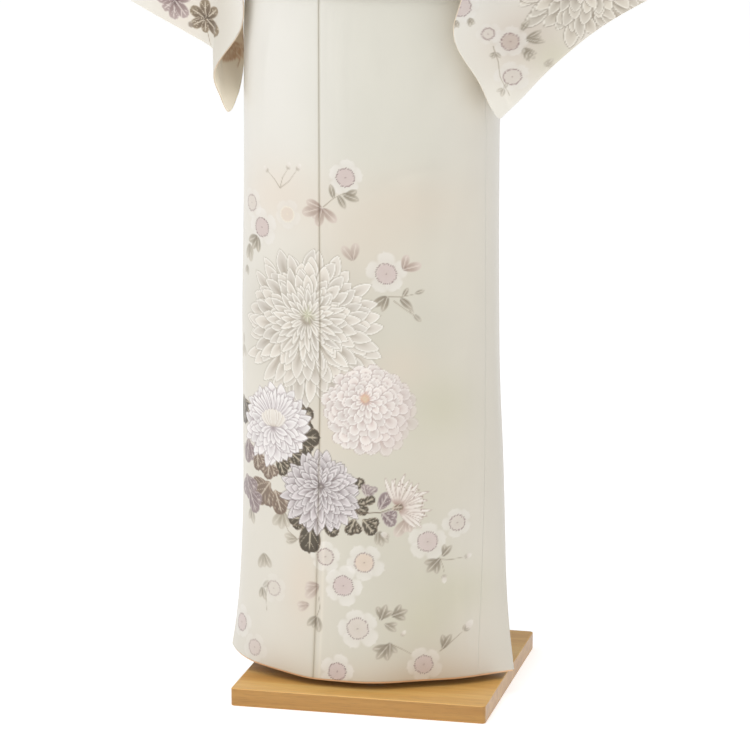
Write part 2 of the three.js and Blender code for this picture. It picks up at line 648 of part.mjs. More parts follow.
const HEM_LINING = { below: 2.5, inset: 2, gap: 0.5 };

// The hem lining lies just inside every panel's lowest row, and its edge hangs a little below.
function makeHemLining(look) {
  const fromEdge = [-OKUMI_WIDTH + HEM_LINING.inset, ...WIDTHS.okumiLeft.slice(1, -1).reverse()];
  const toEdge = [...WIDTHS.okumiRight.slice(1, -1), OKUMI_SEAM_RIGHT + OKUMI_WIDTH - HEM_LINING.inset];
  const inner = (widths) => [...widths].sort((a, b) => a - b).slice(1, -1);
  const widths = [
    ...fromEdge, 0, ...inner(WIDTHS.frontLeft), SIDE_LEFT, ...inner(WIDTHS.backLeft), CENTRE_BACK,
    ...inner(WIDTHS.backRight), SIDE_RIGHT, ...inner(WIDTHS.frontRight), OKUMI_SEAM_RIGHT, ...toEdge,
  ];
  const sheet = [
    widths.map((w) => wrapAt(w, hemZ(w) - HEM_LINING.below)),
    widths.map((w) => wrapAt(w, hemZ(w))),
    widths.map((w) => wrapAt(w, SKIRT_ROWS[0])),
  ];
  return wall('hem_lining', sheet, LINING, look, { shift: -(CLOTH / 2 + HEM_LINING.gap + LINING / 2) });
}

// ---------------------------------------------------------------- sleeves

const ARMHOLE_CLEAR = 1.6;       // between the armhole edge and the sleeve's edge

// One loop of a sleeve: top, down the front cloth, bottom, up the back cloth.
function loopFrom(side, top, front, bottom, back) {
  const points = [top, ...front, bottom, ...back.reverse()];
  return points.map(([x, y, z]) => new THREE.Vector3(side * x, y, z));
}

function innerLoop(side, edge) {
  const table = [...edge];
  const free = (z, face) => {
    const row = rowAt(table, 'z', z);
    return [row[`${face}X`], row[`${face}Y`], z];
  };
  const sewn = (z, face) => {
    const { position } = chestAt(rowAt(CHEST, 'z', z).edgeX, z, face);
    return [position.x + ARMHOLE_CLEAR, position.y, z];
  };
  const face = (name) => LOOP.map(({ edgeZ: z }) => (z > table[0].z ? sewn(z, name) : free(z, name)));
  const tip = table[table.length - 1];
  const top = [SHOULDER_END.x + ARMHOLE_CLEAR, RIDGE_Y, SHOULDER_END.z];
  return loopFrom(side, top, face('front'), [tip.frontX, tip.frontY, tip.z], face('back'));
}

const rodZ = (x) => ROD.zAtShoulder + (x - SHOULDER_END.x) * ROD.rise;
const sleeveTopZ = (x) => rodZ(x) + SLEEVE_TOP_RADIUS;

// A loop that hangs plainly from the rod at x. Below the cuff the outermost loop is sewn flat.
function hangingLoop(side, x, bottomZ, openness) {
  const top = sleeveTopZ(x);
  const face = (sign) => LOOP.map(({ share, half }) => {
    const z = mix(top, bottomZ, share);
    return [x, RIDGE_Y + sign * half * openness(top - z), z];
  });
  return loopFrom(side, [x, RIDGE_Y, top], face(-1), [x, RIDGE_Y, bottomZ], face(1));
}

// The loop along the soft fold beside the inner edge.
function foldLoop(side, fold) {
  const tip = fold[fold.length - 1];
  const x = tip.frontX;
  const top = sleeveTopZ(x);
  const face = (name, sign) => LOOP.map(({ share, half }) => {
    const z = mix(top, tip.z, share);
    if (z > fold[0].z) {
      const t = (top - z) / (top - fold[0].z);
      const hung = RIDGE_Y + sign * half;
      return [mix(x, fold[0][`${name}X`], t), mix(hung, fold[0][`${name}Y`], t * t), z];
    }
    const row = rowAt(fold, 'z', z);
    return [row[`${name}X`], row[`${name}Y`], z];
  });
  const lowest = [tip.frontX, tip.frontY, tip.z];
  return loopFrom(side, [x, RIDGE_Y, top], face('front', -1), lowest, face('back', 1));
}

function sleeveLoops(side, shape) {
  const inner = innerLoop(side, shape.edge);
  const fold = foldLoop(side, shape.fold);
  const loops = [inner, inner.map((p, i) => p.clone().lerp(fold[i], 0.5)), fold];
  const foldX = shape.fold[shape.fold.length - 1].frontX;
  SLEEVE_STATIONS.forEach((x, k) => {
    const outermost = k === SLEEVE_STATIONS.length - 1;
    const beforeLast = k === SLEEVE_STATIONS.length - 2;
    const closing = outermost ? 0.05 : beforeLast ? 0.6 : 1;
    const openness = (drop) => (drop < CUFF_DEPTH ? 1 : mix(1, closing, smooth((drop - CUFF_DEPTH) / 30)));
    const loop = hangingLoop(side, x, rowAt(shape.bottom, 'x', x).z, openness);
    const carried = fold.map((p, i) => new THREE.Vector3(loop[i].x, p.y, loop[i].z));
    const dx = Math.abs(x - foldX);
    loops.push(loop.map((p, i) => p.lerp(carried[i], dx > 0 ? FOLD_FADE[k] : 1)));
  });
  return loops;
}

function makeSleeve(name, side, look, liningLook) {
  const shape = SLEEVES[name];
  const loops = sleeveLoops(side, shape);
  const middles = loops.map((loop) => {
    const sum = loop.reduce((total, p) => total.add(p), new THREE.Vector3());
    return sum.multiplyScalar(1 / loop.length);
  });
  const outwards = (position, j) => new THREE.Vector3(0, 1, 1).multiply(position.clone().sub(middles[j]));
  const sheet = sheetFromPoints(loops, outwards, true);
  sheet.forEach((loop, j) => fixTurns(loop, middles[j]));
  const sleeve = wall(`sleeve_${name}`, sheet, CLOTH, look, { tube: true });
  const lined = sheet.slice(0, 3).map((loop) => loop.slice(LINED_FROM, loop.length - LINED_FROM + 1));
  const shift = -(CLOTH / 2 + SEAM + LINING / 2);
  const lining = wall(`sleeve_lining_${name}`, lined, LINING, liningLook, { shift });
  return [sleeve, lining];
}

const LINED_FROM = 6;            // the lining starts at the lower end of the armhole

// At the top fold and the bottom seam the cloth turns right round, so out is straight up or down.
function fixTurns(loop, middle) {
  const bottom = loop.length / 2;
  for (const i of [0, bottom]) {
    const away = loop[i].position.clone().sub(middle);
    away.x = 0;
    away.y = 0;
    loop[i].normal.copy(away.normalize());
  }
}

// ---------------------------------------------------------------- form, rods, pole and board

function manifoldFrom(geometry) {
  const bare = geometry.clone();
  bare.deleteAttribute('normal');
  bare.deleteAttribute('uv');
  const merged = mergeVertices(bare, 1e-4);
  return new wasm.Manifold(new wasm.Mesh({
    numProp: 3,
    vertProperties: new Float32Array(merged.attributes.position.array),
    triVerts: new Uint32Array(merged.index.array),
  }));
}

function geometryFrom(manifold) {
  const cut = manifold.getMesh();
  const geometry = new THREE.BufferGeometry();
  geometry.setAttribute('position', new THREE.Float32BufferAttribute(cut.vertProperties, 3));
  geometry.setIndex(Array.from(cut.triVerts));
  geometry.computeVertexNormals();
  return geometry;
}

// A round bar between two points, as a geometry in place.
function bar(from, to, radius, sides) {
  const length = from.distanceTo(to);
  const geometry = new THREE.CylinderGeometry(radius, radius, length, sides);
  geometry.translate(0, length / 2, 0);
  const turn = new THREE.Quaternion().setFromUnitVectors(
    new THREE.Vector3(0, 1, 0),
    to.clone().sub(from).normalize(),
  );
  geometry.applyQuaternion(turn);
  geometry.translate(from.x, from.y, from.z);
  return geometry;
}

function named(name, geometry, look) {
  const mesh = new THREE.Mesh(geometry, look);
  mesh.name = name;
  return mesh;
}

// The form's outside: rings from the hips to the neck cap, closed at both ends.
function formGeometry() {
  const positions = [];
  for (const { x, y, z } of FORM) {
    for (let i = 0; i < FORM_SIDES; i++) {
      const angle = (2 * Math.PI * i) / FORM_SIDES;
      positions.push(FORM_SHIFT.x + x * Math.cos(angle), FORM_SHIFT.y + y * Math.sin(angle), z);
    }
  }
  const triangles = [];
  for (let j = 0; j < FORM.length - 1; j++) {
    for (let i = 0; i < FORM_SIDES; i++) {
      const a = j * FORM_SIDES + i;
      const b = j * FORM_SIDES + ((i + 1) % FORM_SIDES);
      triangles.push(a, b, b + FORM_SIDES, a, b + FORM_SIDES, a + FORM_SIDES);
    }
  }
  const ends = [{ ring: 0, z: FORM[0].z }, { ring: FORM.length - 1, z: FORM[FORM.length - 1].z + 1 }];
  for (const { ring, z } of ends) {
    const centre = positions.length / 3;
    positions.push(FORM_SHIFT.x, FORM_SHIFT.y, z);
    for (let i = 0; i < FORM_SIDES; i++) {
      const a = ring * FORM_SIDES + i;
      const b = ring * FORM_SIDES + ((i + 1) % FORM_SIDES);
      triangles.push(...(ring === 0 ? [centre, b, a] : [centre, a, b]));
    }
  }
  const geometry = new THREE.BufferGeometry();
  geometry.setAttribute('position', new THREE.Float32BufferAttribute(positions, 3));
  geometry.setIndex(triangles);
  return geometry;
}

function rodEnds(side) {
  const outerX = SHOULDER_END.x + SLEEVE_WIDTH / Math.hypot(1, ROD.rise) - 6;
  const innerX = FORM[10].x - ROD.intoForm;
  const at = (x) => new THREE.Vector3(side * x, RIDGE_Y, rodZ(x));
  return [at(innerX), at(outerX)];
}

const rounded = (side, corner) => {
  const half = side / 2;
  const shape = new THREE.Shape();
  shape.moveTo(half, -half + corner);
  shape.lineTo(half, half - corner);
  shape.absarc(half - corner, half - corner, corner, 0, Math.PI / 2);
  shape.lineTo(-half + corner, half);
  shape.absarc(-half + corner, half - corner, corner, Math.PI / 2, Math.PI);
  shape.lineTo(-half, -half + corner);
  shape.absarc(-half + corner, -half + corner, corner, Math.PI, Math.PI * 1.5);
  shape.lineTo(half - corner, -half);
  shape.absarc(half - corner, -half + corner, corner, Math.PI * 1.5, Math.PI * 2);
  return shape;
};

function makeStand() {
  const foot = BOARD.thick - BOARD.socket;
  const poleAt = (z) => new THREE.Vector3(POLE.x, POLE.y, z);
  const poleTop = FORM[0].z + POLE.intoForm;
  const steel = material(COLOURS.steel, 0.35, 0.9);
  const pole = named('form_pole', bar(poleAt(foot + FIT), poleAt(poleTop), POLE.radius, 24), steel);

  let form = manifoldFrom(formGeometry());
  const poleHole = bar(poleAt(FORM[0].z - 20), poleAt(poleTop + FIT), POLE.radius + FIT, 24);
  form = form.subtract(manifoldFrom(poleHole));
  const rods = [];
  for (const [name, side] of [['left', 1], ['right', -1]]) {
    const [inner, outer] = rodEnds(side);
    const deeper = inner.clone().sub(outer.clone().sub(inner).normalize().multiplyScalar(FIT));
    form = form.subtract(manifoldFrom(bar(deeper, outer, ROD.radius + FIT, 16)));
    rods.push(named(`sleeve_rod_${name}`, bar(inner, outer, ROD.radius, 16), steel));
  }
  const formMesh = named('form_torso', geometryFrom(form), material(COLOURS.form, 0.8));

  const { side, thick, corner, bevel } = BOARD;
  const slab = new THREE.ExtrudeGeometry(rounded(side - 2 * bevel, corner), {
    depth: thick - 2 * bevel,
    bevelEnabled: true,
    bevelSize: bevel,
    bevelThickness: bevel,
    bevelSegments: 2,
    curveSegments: 3,
  });
  slab.translate(-BODY_AXIS.x, -BODY_AXIS.y, bevel);
  const socket = bar(poleAt(foot), poleAt(thick + 20), POLE.radius + FIT, 24);
  const drilled = geometryFrom(manifoldFrom(slab).subtract(manifoldFrom(socket)));
  const board = named('base_board', drilled, material(COLOURS.beech, 0.5));
  return [formMesh, pole, ...rods, board];
}

// ---------------------------------------------------------------- the whole part

const silk = material(COLOURS.silk, 0.55);
const liningLook = material(COLOURS.lining, 0.6);
const worn = new THREE.Group();
worn.add(...makeBodies(silk));
worn.add(...makeOkumi(silk));
worn.add(...makeCollar(silk));
worn.add(makeSash(material(COLOURS.sash, 0.6)));
worn.add(makeHemLining(liningLook));
worn.add(...makeSleeve('left', 1, silk, liningLook));
worn.add(...makeSleeve('right', -1, silk, liningLook));
worn.add(...makeStand());

// The origin is the middle of the part's footprint, on the ground.
worn.updateMatrixWorld(true);
const footprint = new THREE.Box3().setFromObject(worn).getCenter(new THREE.Vector3());
worn.position.set(-footprint.x, -footprint.y, 0);

const group = new THREE.Group();
group.name = 'houmongi_kimono';
group.add(worn);

export default group;
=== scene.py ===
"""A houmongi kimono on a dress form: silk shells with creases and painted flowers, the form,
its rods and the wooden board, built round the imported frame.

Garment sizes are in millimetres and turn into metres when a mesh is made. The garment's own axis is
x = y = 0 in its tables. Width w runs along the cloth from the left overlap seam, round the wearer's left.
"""

import math

import bpy
import numpy as np
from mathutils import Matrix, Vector


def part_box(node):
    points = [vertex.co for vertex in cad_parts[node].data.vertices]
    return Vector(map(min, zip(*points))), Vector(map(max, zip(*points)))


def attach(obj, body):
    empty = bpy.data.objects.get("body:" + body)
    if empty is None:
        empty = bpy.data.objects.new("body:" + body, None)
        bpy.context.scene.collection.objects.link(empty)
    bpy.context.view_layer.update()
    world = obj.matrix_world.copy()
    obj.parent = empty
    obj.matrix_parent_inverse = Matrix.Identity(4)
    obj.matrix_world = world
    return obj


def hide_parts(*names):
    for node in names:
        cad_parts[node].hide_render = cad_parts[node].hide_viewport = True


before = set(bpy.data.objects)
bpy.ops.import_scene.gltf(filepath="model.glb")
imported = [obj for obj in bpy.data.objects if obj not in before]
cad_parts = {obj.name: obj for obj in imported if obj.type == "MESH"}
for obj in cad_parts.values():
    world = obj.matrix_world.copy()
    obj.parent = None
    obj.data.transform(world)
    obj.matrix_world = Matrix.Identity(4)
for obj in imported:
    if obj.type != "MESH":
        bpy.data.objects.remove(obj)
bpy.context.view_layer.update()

MM = 0.001

# ---------------------------------------------------------------- sizes, in mm

CLOTH = 1.2                 # thickness of a silk shell with its lining
COLLAR_CLOTH = 2.2
LINING_CLOTH = 0.9
GAP = 0.15                  # from a seam line to each of its edges
FRONT_WIDTH, BACK_WIDTH, OKUMI_WIDTH = 230, 275, 155
SIDE_LEFT = FRONT_WIDTH
CENTRE_BACK = FRONT_WIDTH + BACK_WIDTH
SIDE_RIGHT = CENTRE_BACK + BACK_WIDTH
OKUMI_SEAM_RIGHT = SIDE_RIGHT + FRONT_WIDTH
LAP_PITCH = 4.8
OKUMI_SEAM_X = -50
SASH_LOW, SASH_HIGH = 958, 1045
SHOULDER_X, SHOULDER_Z = 184, 1270
NECK_X, NECK_Z = 78, 1380
NAPE_Z = 1346
RIDGE_Y = -8
UNDERLAP = 6
COLLAR_WIDTH = 56
POLE_X, POLE_Y, POLE_RADIUS = 3, 14, 14                 # the pole, from the garment's axis
ROD_RISE, ROD_Z, ROD_RADIUS = 0.65, 1254, 8
SLEEVE_TOP_RADIUS = 16
CUFF_DEPTH = 225
ARMHOLE_CLEAR = 1.6

pole_low, pole_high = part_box("form_pole")
AXIS = Vector((
    (pole_low.x + pole_high.x) / 2 - POLE_X * MM,
    (pole_low.y + pole_high.y) / 2 - POLE_Y * MM,
    0,
))

# Skirt sections: where the left overlap seam hangs, half widths, depths, and each quarter's shape.
SECTIONS = {
    "z": [36, 95, 150, 230, 300, 500, 700, 900, 958, 1045],
    "seam_x": [-61, -59, -57, -55, -53, -50, -50, -50, -50, -50],
    "left": [198, 190.5, 186, 182, 179, 172, 170, 170, 168, 163],
    "right": [203, 191, 185, 180.5, 178.5, 178, 174, 172, 170, 164],
    "front": [100, 99, 98, 97, 97, 98, 100, 100, 99, 96],
    "back": [88, 89, 90, 91, 92, 94, 97, 98, 96, 91],
    "power_left": [1.6, 1.7, 1.8, 2, 2.1, 2.2, 2.2, 2.2, 2.2, 2.2],
    "root_left": [1.0, 0.9, 0.75, 0.6, 0.52, 0.46, 0.455, 0.455, 0.455, 0.455],
    "power_right": [1.9, 1.95, 2, 2.1, 2.2, 2.2, 2.2, 2.2, 2.2, 2.2],
    "root_right": [0.55, 0.53, 0.5, 0.48, 0.46, 0.46, 0.455, 0.455, 0.455, 0.455],
    "power_back": [1.8, 1.9, 2, 2.1, 2.1, 2.2, 2.2, 2.2, 2.2, 2.2],
    "root_back": [0.7, 0.62, 0.55, 0.5, 0.48, 0.46, 0.455, 0.455, 0.455, 0.455],
}
HEM = {"w": [-155, -100, -40, 0, 505, 640, 780, 1010, 1165], "z": [53, 43, 38, 36, 37, 44, 50, 44, 48]}
TAKE_IN = {"z": [780, 900, 1045], "share": [1, 0.98, 0.93]}
CHEST = {
    "z": [1045, 1070, 1110, 1180, 1240, 1270, 1400],
    "edge_x": [160, 161, 164, 171, 179, 184, 184],
    "slit_y": [-36, -32, -24, -16, -10, -8, -8],
    "slit_half": [0.2, 20, 36, 44, 40, 34, 34],
    "front": [96, 98, 99, 94, 88, 85, 82],
    "back": [91, 91, 90, 86, 82, 80, 76],
    "root_front": [0.82, 0.85, 0.9, 1, 1, 1, 1],
    "root_back": [0.29, 0.4, 0.55, 0.75, 0.9, 1, 1],
}
CHEST_ROUND, CHEST_POWER = 2.6, 2.2

# Rows above the sash: the inner edge (x, z) and the outer edge's z.
FRONT_ROWS = [
    (-50, 1072, 1065), (-50, 1100, 1085), (-50, 1148, 1125), (0, 1218, 1168), (36, 1273, 1210),
    (60, 1316, 1243), (74, 1352, 1261), (77.4, 1373, 1268.5),
]
BACK_ROWS = [
    (76, 1375, 1268.5), (64, 1364, 1261), (38, 1352, 1243), (GAP, NAPE_Z, 1210), (GAP, 1290, 1168),
    (GAP, 1200, 1120), (GAP, 1110, 1085), (GAP, 1075, 1065),
]

# The collar behind the sash (w, z, reach), along its line, and round the neck.
COLLAR_ON_OKUMI = [(-150, 972, 14), (-125, 1010, 22), (-100, 1045, 30)]
COLLAR_LINE = {"from": (-133, 1045), "to": (OKUMI_SEAM_X, 1148)}
COLLAR_NECK = [
    ((60, 1316), (22, -66, 1355), 0.6),
    ((74, 1352), (43, -50, 1397), 1.2),
    ((77.4, 1373), (55, -28, 1422), 2.2),
]
COLLAR_BACK = [
    ((78, RIDGE_Y, 1380), (60, 4, 1432), 2.4),
    ((64, 26, 1364), (54, 38, 1419), 2.4),
    ((38, 48, 1352), (34, 62, 1406), 2.4),
]
COLLAR_NAPE = ((0, 55, NAPE_Z), (0, 72, 1400), 2.4)

# Sleeves: inner edge and soft fold as (z, front x, front y, back x, back y), and the bottom as (x, z).
SLEEVES = {
    "left": {
        "edge": [
            (1070, 163, -56, 163, -8), (1046, 168, -80, 180, 8), (960, 142, -112, 182, 34),
            (908, 133, -114, 184, 40), (852, 162, -98, 186, 10), (815, 173, -72, 186, -36),
            (800, 182, -56, 182, -56),
        ],
        "fold": [
            (1070, 196, -42, 198, 10), (960, 194, -72, 208, 26), (908, 193, -80, 212, 24),
            (850, 200, -70, 212, -6), (826, 208, -48, 208, -48),
        ],
        "bottom": [
            (182, 800), (208, 826), (250, 871), (305, 917), (369, 956), (420, 984), (446, 1010), (457, 1052),
        ],
    },
    "right": {
        "edge": [
            (1070, 163, -56, 163, -8), (1046, 166, -66, 182, 8), (960, 160, -68, 186, 34),
            (908, 164, -64, 188, 32), (852, 201, -60, 184, 14), (812, 193, -56, 181, -30),
            (796, 183, -55, 183, -55),
        ],
        "fold": [
            (1070, 200, -34, 202, 12), (960, 207, -32, 214, 26), (930, 210, -30, 216, 22),
            (895, 212, -28, 216, 8), (870, 212, -14, 212, -14),
        ],
        "bottom": [
            (183, 796), (212, 870), (250, 893), (305, 921), (369, 956), (420, 984), (446, 1010), (457, 1052),
        ],
    },
}
# Down one face of a sleeve loop: share of the hanging length, height on the inner edge, half depth.
LOOP = [
    (0.014, 1265, 8.5), (0.05, 1252, 12.5), (0.14, 1215, 15), (0.29, 1140, 18), (0.43, 1070, 20),
    (0.48, 1046, 20), (0.65, 960, 20), (0.77, 908, 17), (0.89, 852, 11), (0.965, 814, 5),
]
# Loops further out: place along the arm, how open the bottom is, how much of the inner fold carries on.
SLEEVE_STATIONS = [(250, 1, 0.45), (305, 1, 0.12), (369, 1, 0), (420, 1, 0), (446, 0.6, 0), (457, 0.05, 0)]

FORM = [
    (600, 58, 32), (604, 100, 54), (616, 127, 68), (650, 144, 74), (720, 150, 78), (820, 146, 78),
    (980, 130, 74), (1060, 134, 76), (1150, 144, 72), (1205, 152, 66), (1245, 154, 56), (1270, 146, 50),
    (1300, 108, 44), (1328, 72, 40), (1350, 53, 37), (1375, 46, 37), (1424, 45, 37), (1433, 41, 34),
    (1437, 30, 26),
]
FORM_SHIFT = (3, 6)

# ---------------------------------------------------------------- small helpers


def mix(a, b, t):
    return a + (b - a) * t


def ease(t):
    s = np.clip(t, 0, 1)
    return s * s * (3 - 2 * s)


def eased(xs, ys, at):
    """A smooth curve through a table's rows that never swings past them."""
    xs, ys = np.asarray(xs, float), np.asarray(ys, float)
    at = np.clip(np.asarray(at, float), xs[0], xs[-1])
    h, d = np.diff(xs), np.diff(ys) / np.diff(xs)
    slope = np.zeros(len(xs))
    slope[0], slope[-1] = d[0], d[-1]
    same = d[:-1] * d[1:] > 0
    both = np.where(same, d[:-1] + d[1:], 1)
    slope[1:-1] = np.where(same, 2 * d[:-1] * d[1:] / both, 0)
    i = np.clip(np.searchsorted(xs, at, side="right") - 1, 0, len(xs) - 2)
    t = (at - xs[i]) / h[i]
    t2, t3 = t * t, t * t * t
    return (
        (2 * t3 - 3 * t2 + 1) * ys[i] + (t3 - 2 * t2 + t) * h[i] * slope[i]
        + (3 * t2 - 2 * t3) * ys[i + 1] + (t3 - t2) * h[i] * slope[i + 1]
    )


def catmull(rows, counts, closed=False):
    """Rows of points, with counts[i] steps between row i and the next, along smooth curves."""
    rows = [np.asarray(r, float) for r in rows]
    n = len(rows)
    spans = n if closed else n - 1
    out = []
    for i in range(spans):
        a, b = rows[i], rows[(i + 1) % n]
        before = rows[i - 1] if closed or i > 0 else 2 * a - b
        after = rows[(i + 2) % n] if closed or i + 2 < n else 2 * b - a
        for k in range(counts[i]):
            t = k / counts[i]
            out.append(0.5 * (
                2 * a + (b - before) * t + (2 * before - 5 * a + 4 * b - after) * t ** 2
                + (3 * a - before - 3 * b + after) * t ** 3
            ))
    if not closed:
        out.append(rows[-1])
    return np.array(out)


def linear(colour):
    """An sRGB colour of 0 to 255 as the linear numbers that shaders take."""
    c = np.asarray(colour, float) / 255
    return np.where(c <= 0.04045, c / 12.92, ((c + 0.055) / 1.055) ** 2.4)


def normals(grid):
    """Unit normals of a grid of points: rows crossed with columns."""
    along, across = np.gradient(grid, axis=0), np.gradient(grid, axis=1)
    n = np.cross(along, across)
    return n / np.maximum(np.linalg.norm(n, axis=2, keepdims=True), 1e-9)


# ---------------------------------------------------------------- the skirt's wrap

LENGTHS = np.arange(-440, 1480, 2.0)
LEVELS = np.arange(24, 1053, 4.0)
CURVE_STEPS = 720


def section_curve(z):
    s = {name: float(eased(SECTIONS["z"], SECTIONS[name], z)) for name in SECTIONS}
    angle = -math.pi / 2 + 2 * math.pi * np.arange(CURVE_STEPS + 1) / CURVE_STEPS
    across, at_back = np.cos(angle), np.sin(angle) > 0
    half = np.where(across > 0, s["left"], s["right"])
    power = np.where(at_back, s["power_back"], np.where(across > 0, s["power_left"], s["power_right"]))
    root = np.where(at_back, s["root_back"], np.where(across > 0, s["root_left"], s["root_right"]))
    swell = np.maximum(0, 1 - np.abs(across) ** power) ** root
    x, y = half * across, np.where(at_back, s["back"], -s["front"]) * swell
    lengths = np.concatenate([[0], np.cumsum(np.hypot(np.diff(x), np.diff(y)))])
    quarter = int(CURVE_STEPS * 0.75)
    start = np.interp(s["seam_x"], x[quarter:], lengths[quarter:])
    along = np.mod(LENGTHS + start, lengths[-1])
    return np.interp(along, lengths, x), np.interp(along, lengths, y), lengths[-1]


CURVES = [section_curve(z) for z in LEVELS]
WRAP_X = np.array([c[0] for c in CURVES])
WRAP_Y = np.array([c[1] for c in CURVES])
TOTAL = np.array([c[2] for c in CURVES])


def on_curve(length, z):
    row = np.clip((z - LEVELS[0]) / (LEVELS[1] - LEVELS[0]), 0, len(LEVELS) - 1.001)
    column = np.clip((length - LENGTHS[0]) / (LENGTHS[1] - LENGTHS[0]), 0, len(LENGTHS) - 1.001)
    j, i = row.astype(int), column.astype(int)
    fj, fi = row - j, column - i

    def read(table):
        low = mix(table[j, i], table[j, i + 1], fi)
        high = mix(table[j + 1, i], table[j + 1, i + 1], fi)
        return mix(low, high, fj)
    return read(WRAP_X), read(WRAP_Y)


def wrap(w, z, out=0.0):
    """The worn skirt at width w and height z, out mm outside its layer."""
    w, z = np.broadcast_arrays(np.asarray(w, float), np.asarray(z, float))
    length = w * np.interp(z, TAKE_IN["z"], TAKE_IN["share"])
    x, y = on_curve(length, z)
    x1, y1 = on_curve(length + 4, z)
    x0, y0 = on_curve(length - 4, z)
    nx, ny = y1 - y0, x0 - x1
    size = np.hypot(nx, ny)
    offset = out - LAP_PITCH * length / np.interp(z, LEVELS, TOTAL)
    return np.stack([x + nx / size * offset, y + ny / size * offset, z], axis=-1)


def hem_z(w):
    return eased(HEM["w"], HEM["z"], w)


HEM_BASE, HEM_FADE = 36.0, 70.0


# ---------------------------------------------------------------- chest, back and shoulders

SHOULDER_SLOPE = (NECK_Z - SHOULDER_Z) / (SHOULDER_X - NECK_X)


def ridge_z(x):
    away = np.abs(x)
    return np.where(away > NECK_X, NECK_Z - (away - NECK_X) * SHOULDER_SLOPE, NECK_Z + (NECK_X - away) * 0.25)


def chest_row(name, z):
    return eased(CHEST["z"], CHEST[name], z)


def full_depth(x, z, face):
    sign = -1 if face == "front" else 1
    edge_y = chest_row("slit_y", z) + sign * chest_row("slit_half", z)
    middle_y = sign * chest_row(face, z)
    reach = np.clip(np.abs(x) / chest_row("edge_x", z), 0, 1)
    return edge_y + (middle_y - edge_y) * (1 - reach ** CHEST_POWER) ** chest_row("root_" + face, z)


def chest(x, z, face, drop=0.0):
    """The cloth above the sash. drop sinks it under another layer."""
    x, z = np.broadcast_arrays(np.asarray(x, float), np.asarray(z, float))
    rise = np.clip((z - SASH_HIGH) / (ridge_z(x) - SASH_HIGH), 0, 1)
    roll = (1 - rise ** CHEST_ROUND) ** (1 / CHEST_ROUND)
    depth = full_depth(x, z, face) - RIDGE_Y
    lean = ease((1 - roll) * 1.4)
    y = RIDGE_Y + depth * roll + np.sign(depth) * drop * (1 - lean)
    return np.stack([x, y, z + drop * lean], axis=-1)


def underlap(x, z):
    """How far the right front is sunk under the left one, and not at all where the left doesn't reach."""
    cover_x = (z - 1318) / 1.5
    return -UNDERLAP * ease((x - (cover_x - 60)) / 50)


def body_rows(side, face, table, shares, power):
    """The control rows of a body length above the sash, each with the same columns."""
    rows = []
    for in_x, in_z, out_z in table:
        out_x = float(chest_row("edge_x", out_z))
        t = 1 - (1 - shares) ** power
        x = side * mix(in_x, out_x, t)
        z = np.minimum(mix(in_z, out_z, t) + 6 * t * (1 - t), ridge_z(x))
        drop = underlap(x, z) if side < 0 and face == "front" else 0.0
        rows.append(chest(x, z, face, drop))
    return rows


def shoulder_row(side, shares):
    x = side * mix(NECK_X, SHOULDER_X, 1 - (1 - shares) ** 1.1)
    return np.stack([x, np.full_like(x, RIDGE_Y), ridge_z(x)], axis=-1)


# ---------------------------------------------------------------- creases

# Soft ridges (depth > 0) and troughs on the skirt: from (w, z) to (w, z), half width, depth.
CREASES = [
    (162, 890, 60, 700, 16, 1.6), (120, 900, 30, 735, 12, -0.8), (205, 860, 120, 640, 20, 1.3),
    (152, 736, 54, 690, 9, 1.6), (42, 955, 34, 800, 7, 1.5), (20, 958, 14, 850, 6, -0.7),
    (75, 958, 88, 820, 11, 1.0),
    (222, 780, 168, 560, 15, 1.2), (228, 600, 196, 380, 13, 1.0), (236, 470, 210, 250, 12, -0.8),
    (-60, 950, -84, 760, 10, 1.2), (-110, 940, -98, 700, 12, 1.1), (-30, 700, -42, 470, 12, -0.6),
    (-120, 520, -100, 240, 14, 1.0), (-70, 330, -52, 90, 13, 0.9), (70, 250, 96, 60, 16, 1.0),
    (150, 300, 178, 60, 14, 1.1), (20, 170, 30, 40, 8, -0.6), (205, 240, 214, 70, 9, 1.3),
    (300, 930, 340, 700, 18, 1.6), (360, 880, 330, 520, 20, 1.2), (420, 940, 470, 640, 16, 1.5),
    (455, 600, 410, 220, 18, 1.4), (300, 420, 330, 90, 17, 1.6), (255, 640, 270, 300, 14, 1.2),
    (560, 940, 530, 690, 16, 1.5), (600, 820, 660, 480, 20, 1.4), (700, 930, 668, 610, 17, 1.5),
    (560, 480, 585, 120, 18, 1.5), (690, 420, 650, 80, 17, 1.6), (745, 700, 752, 320, 13, 1.2),
    (820, 900, 850, 600, 16, 1.0), (930, 820, 900, 480, 16, 1.0),
]


def fold_relief(across, up, folds, ends, soft, bow=0.0):
    """How high soft ridges and troughs stand at the points (across, up).

    Each fold runs from one point to another, with a half width and a depth, and reaches past both ends
    by the share ends. soft is the share of its length in which it fades, and bow bends it sideways.
    """
    out = np.zeros(np.shape(across))
    for x0, z0, x1, z1, half, depth in folds:
        ax, az = x1 - x0, z1 - z0
        size = math.hypot(ax, az)
        u = ((across - x0) * ax + (up - z0) * az) / size ** 2
        v = ((across - x0) * az - (up - z0) * ax) / size
        v = v - bow * half * np.sin(np.clip(u, 0, 1) * math.pi)
        taper = ease(np.minimum(u + ends, 1 + ends - u) / soft)
        out = out + depth * taper * np.exp(-((v / half) ** 2))
    return out


def creases(w, z):
    """How far the skirt's cloth stands out of its smooth form."""
    hem = 1.4 * np.sin(w / 31.0 + 0.6) + 0.9 * np.sin(w / 17.0 + 2.1)
    hem_wave = hem * np.exp(-(z - HEM_BASE) / 45.0)
    return fold_relief(w, z, CREASES, 0.15, 0.4, bow=0.9) + hem_wave + seam_relief(w)
